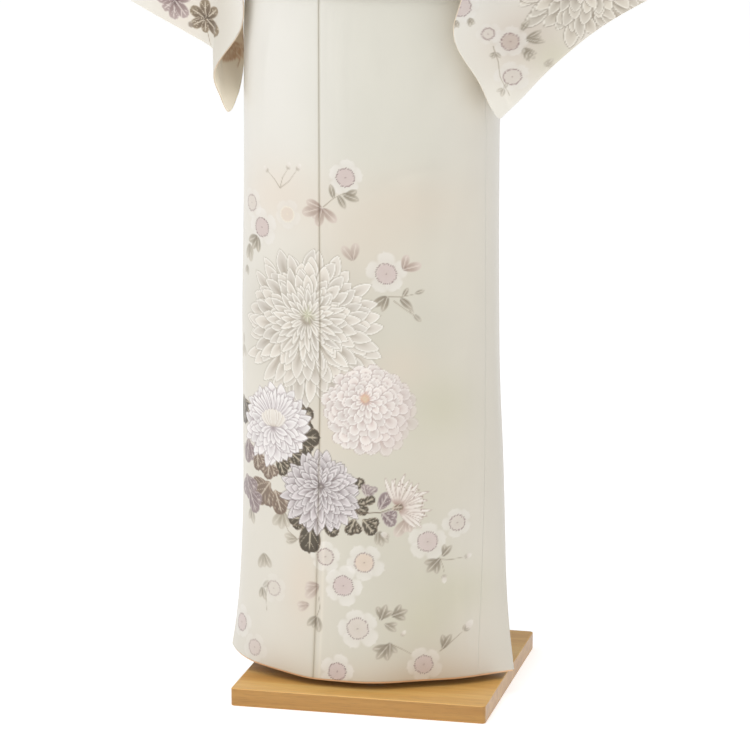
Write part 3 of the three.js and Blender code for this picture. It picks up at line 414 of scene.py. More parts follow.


# Seams: width, allowance and the side it is pressed to, how deep the groove is and how dark its painted
# shade.
SEAMS = [
    (0, 9.0, 0.4, 0.16), (SIDE_LEFT, 8.0, 0.05, 0.0), (CENTRE_BACK, 8.0, 0.4, 0.11),
    (SIDE_RIGHT, -8.0, 0.12, 0.04),
]


def seam_relief(w):
    """A seam's two edges dip into its groove, and the pressed allowance under one side raises it."""
    out = np.zeros(np.shape(w))
    for at, allowance, depth, _ in SEAMS:
        away = w - at
        out = out - depth * np.exp(-((away / 2.0) ** 2))
        inside = away * np.sign(allowance)
        width = abs(allowance)
        out = out + 0.7 * depth * ease(inside / 1.5) * (1 - ease((inside - width) / 1.6))
    return out


# ---------------------------------------------------------------- painting on cloth

IVORY = (232, 229, 221)
LINING_COLOUR = (226, 206, 180)
PALE = (233, 229, 218)
# The darker stone that the skirt's ground turns towards as painted shade
SHADE_STONE = (221, 215, 202)
SAND = (222, 214, 196)
WARM = (226, 206, 186)
OLIVE = (205, 201, 176)
GOLD = (252, 245, 222)
MIDDLE_SHADE = (0.055, 0.055, 0.075)        # painted shade: how much darker the ground is made down the middle of the front
FEATHER = 1.1               # the width over which a painted edge fades, in mm


class Canvas:
    """The colours of one cloth's points. x and y are their places in the pattern, in mm."""

    def __init__(self, x, y):
        self.x, self.y = np.broadcast_arrays(np.asarray(x, float), np.asarray(y, float))
        self.rgb = np.empty(self.x.shape + (3,))
        self.rgb[:] = IVORY
        self.left, self.right = self.x.min(0), self.x.max(0)
        self.low, self.high = self.y.min(1), self.y.max(1)

    def window(self, x0, x1, y0, y1):
        """The block of points that can lie in a rectangle of the pattern, or None."""
        inside = np.nonzero((self.right >= x0) & (self.left <= x1))[0]
        rows = np.nonzero((self.high >= y0) & (self.low <= y1))[0]
        if not len(inside) or not len(rows):
            return None
        return slice(rows[0], rows[-1] + 1), slice(inside[0], inside[-1] + 1)

    def lay(self, window, colour, cover):
        block = self.rgb[window]
        block += (np.asarray(colour, float) - block) * cover[..., None]


def haze(canvas, x, y, rx, ry, colour, strength):
    """A soft cloud of dye."""
    window = canvas.window(x - 2.4 * rx, x + 2.4 * rx, y - 2.4 * ry, y + 2.4 * ry)
    if window:
        d = ((canvas.x[window] - x) / rx) ** 2 + ((canvas.y[window] - y) / ry) ** 2
        canvas.lay(window, colour, strength * np.exp(-d * 1.1))


TURN = 0.35                 # where along a blade its root colour has turned into its body colour


def blade(canvas, base, tip, width, style, bend=0.0, cover=1.0):
    """One petal or leaf lobe, from its root to its tip, in one of the looks below."""
    (bx, by), (tx, ty) = base, tip
    ax, ay = tx - bx, ty - by
    size = math.hypot(ax, ay)
    pad = width * 0.6 + 5 + abs(bend) * size
    window = canvas.window(min(bx, tx) - pad, max(bx, tx) + pad, min(by, ty) - pad, max(by, ty) + pad)
    if window is None or size < 0.5:
        return
    px, py = canvas.x[window] - bx, canvas.y[window] - by
    u = (px * ax + py * ay) / size ** 2
    v = (px * ay - py * ax) / size - bend * size * 4 * u * (1 - u)
    a, b = style["swell"]
    peak = (a / (a + b)) ** a * (b / (a + b)) ** b
    inside = np.clip(u, 0.0005, 0.9995)
    half = width / 2 * inside ** a * (1 - inside) ** b / peak
    beyond = np.maximum(0, np.maximum(-u, u - 1)) * size
    edge = half - np.abs(v) - beyond
    if "shade" in style:
        amount, colour, reach = style["shade"]
        canvas.lay(window, colour, amount * cover * ease(1 + edge / reach))
    shape = ease(edge / (FEATHER * style.get("soft", 1.0)) + 0.5) * cover
    canvas.lay(window, blade_colours(style, u, v, edge, width, size), shape)


def blade_colours(style, u, v, edge, width, size):
    """The colours of a blade's points: u along it, v across it, and edge mm inside its outline."""
    root, body, tip = (np.asarray(style[part], float) for part in ("root", "body", "tip"))
    t = u[..., None]
    paint = np.where(t < TURN, mix(root, body, ease(t / TURN)), mix(body, tip, ease((t - TURN) / (1 - TURN))))
    if "hollow" in style:
        fall = np.exp(-((v / (width * 0.17)) ** 2)) * (1 - ease((u - 0.35) / 0.5)) * style["hollow"]
        paint = mix(paint, root, fall[..., None])
    rim_width, rim_strength = style["rim_line"]
    line = (1 - ease(edge / rim_width)) * rim_strength * ease((u - 0.08) / 0.3)
    paint = mix(paint, np.asarray(style["rim"], float), line[..., None])
    if "vein" in style:
        colour, thick, strength, count = style["vein"]
        veins = (1 - ease((np.abs(v) - thick * 0.3) / thick)) * (1 - ease((u - 0.8) / 0.2))
        if count:
            slant = u * count - np.abs(v) / size * count * 1.5
            gap = np.abs(slant - np.round(slant)) * size / count
            sides = (1 - ease((gap - thick * 0.15) / (thick * 0.8))) * ease((0.92 - u) / 0.1) * ease(u / 0.1)
            veins = np.maximum(veins, sides * 0.85)
        paint = mix(paint, np.asarray(colour, float), (veins * strength)[..., None])
    return paint


def stroke(canvas, points, width, colour, cover=1.0):
    """A line that thins towards its end, such as a twig or a stamen's thread."""
    steps = len(points) - 1
    for k in range(steps):
        (x0, y0), (x1, y1) = points[k], points[k + 1]
        pad = width + 2
        window = canvas.window(min(x0, x1) - pad, max(x0, x1) + pad, min(y0, y1) - pad, max(y0, y1) + pad)
        if window is None:
            continue
        ax, ay = x1 - x0, y1 - y0
        t = np.clip(((canvas.x[window] - x0) * ax + (canvas.y[window] - y0) * ay) / (ax * ax + ay * ay), 0, 1)
        away = np.hypot(canvas.x[window] - x0 - ax * t, canvas.y[window] - y0 - ay * t)
        half = width / 2 * (1 - 0.6 * (k + t) / steps)
        canvas.lay(window, colour, cover * ease((half - away) / FEATHER + 0.5))


def spot(canvas, x, y, radius, colour, cover=1.0, soft=1.0):
    window = canvas.window(x - radius - 3, x + radius + 3, y - radius - 3, y + radius + 3)
    if window:
        away = np.hypot(canvas.x[window] - x, canvas.y[window] - y)
        canvas.lay(window, colour, cover * ease((radius - away) / (FEATHER * soft) + 0.5))


def jitter(index, seed=0.0):
    """A steady random-looking number from 0 to 1."""
    value = math.sin(index * 12.9898 + seed * 78.233 + 1.7) * 43758.5453
    return value - math.floor(value)


def along(x, y, angle, far):
    return x + far * math.cos(angle), y + far * math.sin(angle)


def look(root, body, tip, rim, rim_line, swell, **more):
    """How a petal or leaf is painted.

    root, body, tip and rim are its colours, and rim_line the rim's width and strength. swell is (a, b) of
    the outline u ** a * (1 - u) ** b. What may be left out: shade, the amount, colour and reach of the
    shade round it; vein, the colour, width, strength and number of side veins; hollow, how strongly the
    root colour runs up its middle; soft, how soft its edge is; plump, a leaf's width over its length.
    """
    return {"root": root, "body": body, "tip": tip, "rim": rim, "rim_line": rim_line, "swell": swell, **more}


CHRYSANTHEMUMS = {
    "ivory": look(
        (170, 158, 142), (215, 207, 195), (227, 220, 209), (249, 246, 239), (2.7, 1.0), (1.2, 0.9),
        hollow=0.6, shade=(0.65, (164, 153, 136), 2.0)),
    "pale": look(
        (152, 140, 124), (208, 199, 184), (220, 212, 198), (244, 239, 228), (3.0, 0.9), (1.3, 0.85),
        hollow=0.55, shade=(0.8, (152, 140, 124), 2.0)),
    "pink": look(
        (198, 175, 168), (228, 218, 210), (236, 228, 221), (250, 247, 242), (2.8, 0.9), (0.95, 0.5),
        hollow=0.6, shade=(0.8, (184, 164, 157), 2.4)),
    "white": look(
        (176, 164, 166), (226, 219, 217), (238, 233, 230), (251, 249, 246), (2.6, 0.95), (1.1, 0.85),
        hollow=0.6, shade=(0.8, (166, 152, 152), 2.2)),
    "lilac": look(
        (130, 118, 116), (196, 187, 187), (218, 210, 209), (242, 238, 236), (2.4, 0.9), (1.1, 0.85),
        hollow=0.75, shade=(0.85, (130, 118, 116), 2.2)),
}


def toned(style, share):
    """The same look, a little darker or lighter."""
    parts = {part: np.clip(np.array(style[part]) * share, 0, 255) for part in ("root", "body", "tip")}
    return {**style, **parts}


def petal_rings(canvas, centre, eye, rings, style, seed=0.0, flat=1.0, fade=None, wild=1.0):
    """Rings of petals from the outermost in: (base radius, tip radius, petals, width)."""
    outer = rings[0][1]

    def place(angle, radius, share):
        cx, cy = mix(eye[0], centre[0], share), mix(eye[1], centre[1], share)
        return cx + radius * math.cos(angle), cy + radius * math.sin(angle) * flat

    for k, (inner, reach, count, width) in enumerate(rings):
        share = reach / outer
        for i in list(range(0, count, 2)) + list(range(1, count, 2)):
            angle = 2 * math.pi * (i + 0.5 * (k % 2) + 0.5 * wild * (jitter(i, seed + k) - 0.5)) / count
            swing = 0.2 * wild * (jitter(i, seed + k + 5) - 0.5)
            base = place(angle, inner, share * 0.8)
            long = reach * (1 + 0.24 * wild * (jitter(i, seed + k + 9) - 0.5))
            tip = place(angle + swing, long, share)
            cover = 1.0 if fade is None else fade(angle, share)
            blade(canvas, base, tip, width * (1 + 0.3 * wild * (jitter(i, seed + k + 3) - 0.5)),
                  toned(style, mix(0.94, 1.03, jitter(i, seed + k + 11))),
                  bend=0.2 * wild * (jitter(i, seed + k + 7) - 0.5), cover=cover)


def centre_threads(canvas, x, y, radius, colours, seed):
    """The short pointed florets in the middle of a chrysanthemum."""
    count = 26
    for i in range(count):
        angle = 2 * math.pi * (i + jitter(i, seed)) / count
        far = radius * (0.55 + 0.45 * jitter(i, seed + 2))
        thread = [along(x, y, angle, radius * 0.1), along(x, y, angle, far)]
        stroke(canvas, thread, 1.5, colours[i % len(colours)], 0.8)


BLOSSOM = look((222, 214, 205), (230, 225, 217), (239, 235, 229), (248, 245, 240), (2.4, 0.35), (0.55, 0.3),
               soft=4.5, shade=(0.16, (200, 190, 178), 5.0))
STAMENS = 30


def blossom(canvas, x, y, radius, disc, turn, cover, dot_colour=(112, 78, 78)):
    """A five-petalled blossom: thin round petals, a soft disc and a ring of stamen heads."""
    for i in range(5):
        angle = turn + 2 * math.pi * i / 5
        far = radius * (0.84 + 0.18 * jitter(i, x - y))
        blade(canvas, along(x, y, angle, radius * 0.15), along(x, y, angle, far), radius * 0.8, BLOSSOM,
              bend=0.16 * (jitter(i, x + y) - 0.5), cover=0.66 * cover)
    spot(canvas, x, y, radius * 0.46, disc, 0.8 * cover, soft=2.6)
    for i in range(STAMENS):
        angle = 2 * math.pi * (i + 0.3 * jitter(i, x)) / STAMENS
        far = radius * (0.46 + 0.05 * jitter(i, y))
        stroke(canvas, [along(x, y, angle, radius * 0.34), along(x, y, angle, far)], 0.7, disc, 0.5 * cover)
        spot(canvas, *along(x, y, angle, far), 0.85, dot_colour, 0.9 * cover)
    spot(canvas, x, y, 0.9, dot_colour, 0.6 * cover)


LEAVES = {
    "dark": look(
        (118, 108, 90), (88, 80, 66), (84, 75, 62), (186, 160, 136), (1.9, 0.5), (0.65, 0.32),
        vein=((216, 204, 182), 1.15, 0.85, 3)),
    "brown": look(
        (150, 130, 112), (132, 114, 98), (124, 106, 92), (206, 184, 164), (1.9, 0.5), (0.65, 0.32),
        vein=((226, 214, 196), 1.15, 0.8, 3)),
    "mauve": look(
        (150, 134, 130), (138, 121, 120), (150, 134, 132), (216, 202, 196), (1.9, 0.5), (0.65, 0.36),
        vein=((226, 216, 208), 1.1, 0.75, 3)),
    "sepia": look(
        (126, 116, 100), (148, 138, 121), (184, 174, 157), (208, 199, 184), (1.4, 0.4), (0.75, 0.7),
        vein=((220, 212, 198), 0.9, 0.8, 0), soft=1.6, plump=0.44),
    "umber": look(
        (78, 64, 50), (116, 100, 82), (146, 130, 108), (216, 202, 182), (1.5, 0.8), (0.6, 0.34),
        vein=((226, 214, 194), 0.9, 0.9, 2)),
    "twilight": look(
        (108, 88, 86), (152, 132, 128), (180, 162, 157), (232, 222, 216), (1.5, 0.7), (0.6, 0.34),
        vein=((236, 226, 218), 0.9, 0.85, 2)),
    "russet": look(
        (222, 184, 148), (206, 168, 134), (216, 182, 150), (240, 218, 188), (1.2, 0.5), (0.65, 0.36),
        vein=((236, 218, 190), 0.8, 0.9, 3)),
    "soft": look(
        (140, 129, 110), (166, 156, 138), (200, 191, 175), (222, 214, 200), (1.5, 0.3), (0.8, 0.5),
        vein=((230, 224, 212), 0.9, 0.6, 0), soft=1.9),
    "rosy": look(
        (148, 126, 114), (182, 163, 150), (214, 200, 188), (228, 216, 206), (1.5, 0.3), (0.8, 0.5),
        vein=((236, 227, 217), 0.9, 0.6, 0), soft=1.9),
}


def leaf(canvas, x, y, angle, size, kind="dark", lobes=3, spread=0.8, cover=1.0):
    """A lobed leaf that grows from (x, y) towards angle, in degrees."""
    main = math.radians(angle)
    style = LEAVES[kind]
    plump = style.get("plump", 0.66)
    for k in range(lobes - 1, 0, -1):
        side = 1 if k % 2 else -1
        step = (k + 1) // 2
        lean = main + side * spread * step
        start = along(x, y, main, size * 0.16 / step)
        reach = along(*start, lean, size * (0.74 - 0.1 * (step - 1)))
        blade(canvas, start, reach, size * plump * 0.9, style, bend=0.05 * side, cover=cover)
    blade(canvas, (x, y), along(x, y, main, size), size * plump, style, cover=cover)


def spray(canvas, x, y, angles, size, kind="soft", cover=0.8, plump=0.5):
    """Single narrow leaves that fan out from one point."""
    for i, angle in enumerate(angles):
        far = size * (0.62 + 0.35 * jitter(i, x + y))
        blade(canvas, (x, y), along(x, y, math.radians(angle), far), far * plump, LEAVES[kind], cover=cover)


BUD = look(
    (164, 146, 130), (226, 217, 207), (240, 235, 228), (226, 217, 208), (1.2, 0.4), (0.6, 0.5), soft=1.8)


def bud(canvas, x, y, angle, size, cover=0.7):
    """A closed bud on its small cup."""
    turn = math.radians(angle)
    blade(canvas, (x, y), along(x, y, turn, size), size * 0.6, BUD, cover=cover)
    for lean in (-0.7, 0.7):
        blade(canvas, (x, y), along(x, y, turn + lean, size * 0.5), size * 0.26, LEAVES["sepia"], cover=cover)


def pink_fade(angle, share):
    """The pink flower melts into the ground on its right."""
    return 1 - 0.55 * share ** 4 * max(0.0, math.cos(angle + 0.35))


def paint_great_flowers(canvas):
    """The four great chrysanthemums, their rings from the outermost in."""
    haze(canvas, -20, 522, 74, 74, (176, 166, 148), 0.7)
    petal_rings(canvas, (-20, 515), (-18, 534), [
        (60, 102, 28, 17), (52, 94, 28, 17), (43, 84, 26, 16.5), (33, 72, 24, 15.5), (24, 61, 22, 13.5),
        (14, 52, 24, 10), (9, 41, 20, 8), (4, 28, 16, 6.5)], CHRYSANTHEMUMS["ivory"],
        seed=1.0, flat=1.02, wild=0.8)
    centre_threads(canvas, -18, 536, 15, [(196, 196, 168), (238, 236, 220), (178, 174, 142)], seed=4)
    petal_rings(canvas, (68, 410), (62, 427), [
        (46, 64, 21, 16), (39, 58, 21, 16), (33, 51, 19, 15.5), (26, 44, 17, 15), (19, 36, 14, 14),
        (9, 29, 11, 12), (5, 22, 9, 9.5), (3, 15, 8, 6)], CHRYSANTHEMUMS["pink"], seed=2.0, flat=0.96,
        fade=pink_fade, wild=0.45)
    spot(canvas, 62, 427, 6, (222, 198, 168), 0.85, soft=2)
    for i in range(18):
        turn = 2 * math.pi * i / 18
        stroke(canvas, [along(62, 427, turn, 4), along(62, 427, turn, 9.5)], 0.9, (206, 138, 118), 0.6)
    paint_white_flower(canvas)
    petal_rings(canvas, (2, 293), (4, 306), [
        (20, 57, 24, 13), (17, 51, 23, 13), (13, 44, 20, 11.5), (8, 36, 17, 9.5), (5, 27, 14, 7.5),
        (2, 16, 9, 5)], CHRYSANTHEMUMS["lilac"], seed=5.0, flat=0.98, wild=0.8)


DOME = look((200, 186, 172), (226, 218, 207), (234, 227, 217), (248, 245, 239), (2.2, 0.9), (0.7, 0.35),
            shade=(0.6, (188, 172, 158), 1.8))


def paint_white_flower(canvas):
    """The white flower at the left: a fan of pointed petals round a cream dome of upright ones."""
    style = CHRYSANTHEMUMS["white"]
    petal_rings(canvas, (-70, 380), (-70, 378), [
        (22, 56, 24, 14), (18, 50, 22, 13), (13, 43, 20, 12), (8, 35, 17, 11), (4, 26, 13, 9)], style,
        seed=3.0, flat=1.0)
    for i in range(15):
        lean = math.radians(mix(28, 158, i / 14))
        blade(canvas, along(-72, 384, lean, 5), along(-72, 384, lean, 40 + 8 * jitter(i, 2)), 6.5, style,
              bend=0.06 * (jitter(i, 4) - 0.5))
    for lean in (140, 44, 122, 62, 105, 80, 92):
        blade(canvas, (-70, 374), along(-71, 376, math.radians(lean), 25), 11, DOME)
    for lean in (200, 222, 246, 270, 296, 320, 342):
        blade(canvas, (-70, 376), along(-70, 376, math.radians(lean), 24), 8.5, style)


SPIDER = look((168, 138, 126), (228, 218, 208), (238, 232, 224), (162, 136, 124), (0.9, 0.75), (0.7, 0.7),
              shade=(0.3, (190, 174, 160), 1.4))


def paint_spider_flower(canvas):
    """A half-open flower seen from the side: fine petals that fan out of a dark cup."""
    x, y = 108, 279
    for i in range(20):
        angle = math.radians(mix(-46, 112, i / 19) + 7 * (jitter(i, 3) - 0.5))
        far = 36 + 12 * jitter(i, 4)
        blade(canvas, along(x, y, angle, 3), along(x, y, angle, far), 5.6, SPIDER,
              bend=0.14 * (jitter(i, 6) - 0.5))
    for i in range(16):
        angle = math.radians(mix(-20, 95, i / 15))
        far = 26 + 14 * jitter(i, 8)
        spot(canvas, *along(x, y, angle, far), 0.9, (138, 104, 92), 0.8)
    leaf(canvas, x - 7, y - 1, 12, 15, "brown", lobes=1)
    spray(canvas, 66, 294, [40, 62, 84, 104], 20, "mauve", 0.9)


# The darker leaves round the great flowers: place, direction, size, look, lobes, and how far they spread.
DARK_LEAVES = [
    (-36, 390, 30, 30, "dark", 2), (-40, 368, 2, 40, "dark", 3), (-48, 350, -36, 30, "dark", 3),
    (-62, 336, -66, 26, "dark", 2), (-118, 352, -100, 34, "mauve", 2), (-100, 340, -84, 28, "brown", 2),
    (-76, 330, -96, 27, "brown", 3), (-74, 300, -128, 40, "brown", 3), (-66, 290, -70, 34, "brown", 2),
    (-126, 302, -70, 36, "mauve", 3), (-116, 282, -62, 34, "mauve", 2), (-138, 410, -80, 40, "dark", 2),
    (-10, 258, -92, 48, "dark", 1), (-12, 258, -172, 32, "dark", 2, 0.5), (6, 256, -40, 28, "dark", 2, 0.5),
    (50, 300, 60, 20, "dark", 2), (60, 282, 30, 20, "dark", 1), (46, 280, -20, 24, "dark", 2),
    (52, 262, -112, 24, "dark", 2), (62, 262, -50, 26, "dark", 2), (84, 276, 62, 26, "mauve", 1),
    (88, 272, -45, 24, "mauve", 2),
]


def paint_dark_leaves(canvas):
    for place in DARK_LEAVES:
        leaf(canvas, *place)
    stroke(canvas, [(34, 282), (60, 270), (86, 272), (106, 280)], 1.8, (120, 104, 88))
    stroke(canvas, [(-22, 232), (-34, 222), (-46, 220)], 1.3, (168, 156, 140))


SPRAYS_FROM = 350           # sprays lie over the blossoms above this height and under those below it
# Blossoms: place, radius, disc colour, turn, how strongly they show.
MAUVE, PEACH, PALE_DISC, DUSK = (206, 187, 183), (222, 200, 180), (214, 203, 192), (190, 170, 158)
BLOSSOMS = [
    (36, 722, 25, MAUVE, 0.2, 0.85), (-90, 646, 26, MAUVE, 0.5, 0.85),
    (-112, 676, 22, PALE_DISC, 0.8, 0.6), (90, 596, 28, MAUVE, 0.4, 0.85), (12, 206, 23, PALE_DISC, 0.3, 0.8),
    (66, 202, 27, PEACH, 0.9, 0.8), (38, 168, 28, MAUVE, 0.0, 0.9), (60, 110, 30, PALE_DISC, 0.6, 0.85),
    (150, 232, 28, MAUVE, 0.2, 0.75), (190, 256, 22, PALE_DISC, 0.7, 0.7), (-130, 90, 24, MAUVE, 0.3, 0.75),
    (-98, 62, 22, MAUVE, 1.1, 0.5), (-66, 152, 21, PALE_DISC, 0.5, 0.4), (34, 48, 25, MAUVE, 0.1, 0.9),
    (152, 58, 26, MAUVE, 0.8, 0.8),
]
# Sprays: place, the directions of their leaves, size, look, how strongly they show.
SOFT_SPRAYS = [
    (4, 680, [228, 256, 196, 318, 160], 31, "rosy", 1.0), (-98, 632, [200, 235, 272], 25, "sepia", 0.8),
    (46, 612, [80, 128], 32, "rosy", 0.8), (-124, 590, [240, 280], 20, "sepia", 0.6),
    (112, 602, [75, 15], 26, "rosy", 1.0), (120, 552, [300], 16, "soft", 0.8),
    (4, 166, [202, 226, 186], 32, "rosy", 0.8), (-10, 138, [214, 190], 20, "rosy", 0.7),
    (2, 122, [252, 282, 226], 26, "sepia", 0.7), (122, 264, [238, 262, 284], 30, "rosy", 0.85),
    (84, 246, [285, 312, 265], 26, "sepia", 0.6), (-52, 262, [232, 262, 292], 28, "soft", 0.7),
    (-84, 198, [245, 270, 305], 26, "soft", 0.75), (-86, 150, [250, 285, 40], 24, "sepia", 0.6),
    (-30, 226, [170, 200], 26, "soft", 0.7), (-112, 256, [250, 285], 26, "sepia", 0.55),
    (-136, 480, [250, 300, 90], 22, "soft", 0.6), (-118, 620, [250, 280, 300], 26, "soft", 0.7),
]
# Soft leaves: place, direction, size, lobes, how strongly they show.
SOFT_LEAVES = [
    (20, 694, 104, 19, 1, 0.85), (32, 700, 342, 24, 2, 0.85), (26, 698, 300, 20, 1, 0.85),
    (92, 566, 214, 26, 1, 0.95), (92, 566, 250, 22, 1, 0.95), (108, 564, 318, 22, 1, 0.95),
    (112, 566, 60, 14, 1, 0.9),
    (90, 122, 72, 24, 3, 0.85), (104, 128, 20, 24, 3, 0.85), (96, 118, 325, 20, 2, 0.7),
    (104, 90, 232, 28, 3, 0.85), (104, 92, 272, 22, 2, 0.6), (176, 78, 58, 24, 2, 0.8),
    (168, 208, 226, 26, 3, 0.85), (170, 210, 48, 20, 2, 0.85), (128, 570, 20, 13, 1, 0.8),
    (126, 542, 315, 14, 1, 0.8), (-132, 344, 262, 18, 2, 0.6),
]
# Twigs: points and width.
TWIGS = [
    ([(6, 682), (20, 694), (34, 701)], 1.2), ([(-58, 702), (-54, 716), (-46, 728)], 1.0),
    ([(-58, 702), (-67, 713), (-78, 722)], 1.0), ([(-58, 702), (-44, 712), (-32, 728)], 1.0),
    ([(92, 566), (112, 566), (130, 570)], 1.3),
    ([(100, 560), (116, 548), (128, 540)], 1.2), ([(168, 206), (184, 205), (200, 207)], 1.2),
    ([(168, 206), (172, 196), (174, 188)], 1.1), ([(104, 90), (120, 82), (134, 74)], 1.3),
    ([(174, 76), (190, 88), (204, 100)], 1.4), ([(2, 122), (6, 134), (4, 150)], 1.1),
    ([(-30, 226), (-44, 236), (-52, 250)], 1.1), ([(-76, 158), (-80, 138), (-78, 118)], 1.0),
]
# Buds: place, direction and size.
BUDS = [
    (-46, 728, 70, 10), (-78, 722, 140, 10), (-32, 728, 55, 10), (202, 207, 10, 11), (174, 184, -85, 12),
    (206, 102, 45, 18), (120, 100, 60, 9), (98, 238, 150, 12),
]
# Clouds of dye: place, half widths, colour, strength.
HAZES = [
    (60, 640, 90, 70, WARM, 0.30), (-60, 690, 70, 50, WARM, 0.35), (130, 690, 80, 40, WARM, 0.28),
    (165, 415, 46, 46, OLIVE, 0.55), (110, 470, 40, 34, WARM, 0.3), (190, 160, 60, 40, OLIVE, 0.5),
    (150, 120, 40, 34, OLIVE, 0.45), (-20, 160, 30, 60, WARM, 0.4), (170, 330, 60, 60, SAND, 0.35),
    (20, 380, 60, 50, WARM, 0.25), (205, 620, 40, 180, SAND, 0.35), (120, 40, 130, 26, WARM, 0.22),
    (-50, 610, 60, 50, PALE, 0.4), (210, 880, 34, 120, SAND, 0.3),
]


def skirt_ground_and_shade(canvas):
    # Painted shade: the ground darkens towards the hem, further round towards the side, and down the middle
    # of the front.
    low = ease((900 - canvas.y) / 620)
    right = ease((canvas.x - 20) / 210)
    middle = ease((canvas.x + 70) / 150) * (1 - ease((canvas.x - 130) / 100))
    canvas.rgb[:] = mix(np.array(IVORY, float), np.array(SHADE_STONE, float), (0.8 * low + 0.2 * right)[..., None])
    canvas.rgb *= 1 - middle[..., None] * np.array(MIDDLE_SHADE)


def paint_skirt(canvas):
    """The painted silk of the skirt, continuous over its seams."""
    skirt_ground_and_shade(canvas)
    for place in HAZES:
        haze(canvas, *place)
    for place in BLOSSOMS:
        if place[1] > SPRAYS_FROM:
            blossom(canvas, *place)
    for place in SOFT_SPRAYS:
        spray(canvas, *place)
    for place in BLOSSOMS:
        if place[1] <= SPRAYS_FROM:
            blossom(canvas, *place)
    for points, width in TWIGS:
        stroke(canvas, points, width, (160, 146, 126), 0.85)
    for x, y, angle, size, lobes, cover in SOFT_LEAVES:
        leaf(canvas, x, y, angle, size, "sepia", lobes, 0.7, cover)
    for place in BUDS:
        bud(canvas, *place)
    paint_dark_leaves(canvas)
    paint_great_flowers(canvas)
    paint_spider_flower(canvas)
    blossom(canvas, -47, 668, 21, WARM, 1.0, cover=0.5, dot_colour=GOLD)
    paint_seam_shade(canvas)


def paint_seam_shade(canvas):
    """Painted shade darkens a seam's groove, and a painted highlight lightens the pressed edge beside it."""
    for at, allowance, _, dark in SEAMS:
        away = canvas.x - at
        low = ease((330 - canvas.y) / 120)
        # painted shade along the groove, softer and wider near the hem
        line = dark * (1 - 0.3 * low) * np.exp(-((away / (1.5 + 0.9 * low)) ** 2))
        canvas.rgb *= 1 - line[..., None] * np.array((0.9, 1.0, 1.25))
        # painted highlight on the pressed edge, near the hem only
        ridge_highlight = np.exp(-(((away - allowance) / 1.8) ** 2)) * low
        canvas.rgb *= (1 + 0.25 * dark * ridge_highlight)[..., None]


# ---------------------------------------------------------------- materials


class Material:
    """A material built round one Principled shader."""

    def __init__(self, name, **inputs):
        self.material = bpy.data.materials.new(name)
        self.material.use_nodes = True
        self.tree = self.material.node_tree
        self.shader = self.tree.nodes["Principled BSDF"]
        self.fill(self.shader, **inputs)

    def fill(self, node, **inputs):
        """Sets a node's inputs to numbers and colours, or links them to other nodes' outputs."""
        for name, value in inputs.items():
            socket = node.inputs[name.replace("_", " ")]
            if isinstance(value, bpy.types.NodeSocket):
                self.tree.links.new(value, socket)
            else:
                socket.default_value = value

    def add(self, kind, **inputs):
        node = self.tree.nodes.new("ShaderNode" + kind)
        self.fill(node, **inputs)
        return node

    def noise(self, stretch=None, **inputs):
        """A noise in the object's own space, stretched along its axes."""
        place = self.add("TexCoord").outputs["Object"]
        if stretch:
            place = self.add("Mapping", Vector=place, Scale=stretch).outputs["Vector"]
        return self.add("TexNoise", Vector=place, **inputs).outputs["Fac"]

    def tint(self, colour, tone, **spread):
        """The base colour: colour times a tone that is spread between two values."""
        spread_tone = self.add("MapRange", Value=tone, **spread).outputs["Result"]
        mixer = self.add("Mix")
        mixer.data_type, mixer.blend_type = "RGBA", "MULTIPLY"
        self.fill(mixer, Factor=1.0, A=colour, B=spread_tone)
        self.fill(self.shader, Base_Color=mixer.outputs["Result"])

    def bump(self, height, strength, distance):
        relief = self.add("Bump", Height=height, Strength=strength, Distance=distance)
        self.fill(self.shader, Normal=relief.outputs["Normal"])


def silk_material(name, plain=None, roughness=0.42, sheen=0.25, weave=1500.0):
    """Silk: painted or plain colour, a fine weave, faint slubs and a soft lustre."""
    made = Material(
        name, Roughness=roughness, Sheen_Weight=sheen, Sheen_Roughness=0.4, Specular_IOR_Level=0.4)
    if plain is None:
        ground = made.add("Attribute")
        ground.attribute_name = "Paint"
    else:
        ground = made.add("RGB")
        ground.outputs["Color"].default_value = (*linear(plain), 1)
    made.tint(ground.outputs["Color"], made.noise(Scale=9.0, Detail=3.0), To_Min=0.95, To_Max=1.03)
    made.bump(made.noise((weave, weave, weave * 0.18), Scale=1.0, Detail=1.0), 0.08, 0.0004)
    return made.material


def plain_material(name, colour, roughness, metallic=0.0, grain=300.0, strength=0.15):
    """One colour with a faint grain, for a covered form or brushed steel."""
    base = (*linear(colour), 1)
    made = Material(name, Base_Color=base, Roughness=roughness, Metallic=metallic)
    noise = made.noise(Scale=grain, Detail=3.0)
    made.tint(base, noise, To_Min=0.93, To_Max=1.05)
    made.bump(noise, strength, 0.0002)
    return made.material


def wood_material(name, *tones):
    """Clear-lacquered beech: long grain along x in three tones, from dark to light, and darker pores."""
    made = Material(name, Roughness=0.38, Coat_Weight=0.25, Coat_Roughness=0.2)
    bands = made.noise((2.2, 46.0, 60.0), Scale=1.0, Detail=4.0, Roughness=0.55, Distortion=0.6)
    ramp = made.add("ValToRGB", Fac=bands)
    dark, light = ramp.color_ramp.elements
    dark.position, light.position = 0.28, 0.74
    ramp.color_ramp.elements.new(0.52)
    for place, tone in enumerate(tones):
        ramp.color_ramp.elements[place].color = (*linear(tone), 1)
    pores = made.noise((60.0, 900.0, 900.0), Scale=1.0, Detail=2.0)
    made.tint(ramp.outputs["Color"], pores, From_Min=0.30, From_Max=0.5, To_Min=0.86, To_Max=1.0)
    made.bump(pores, 0.12, 0.0003)
    return made.material


# ---------------------------------------------------------------- meshes


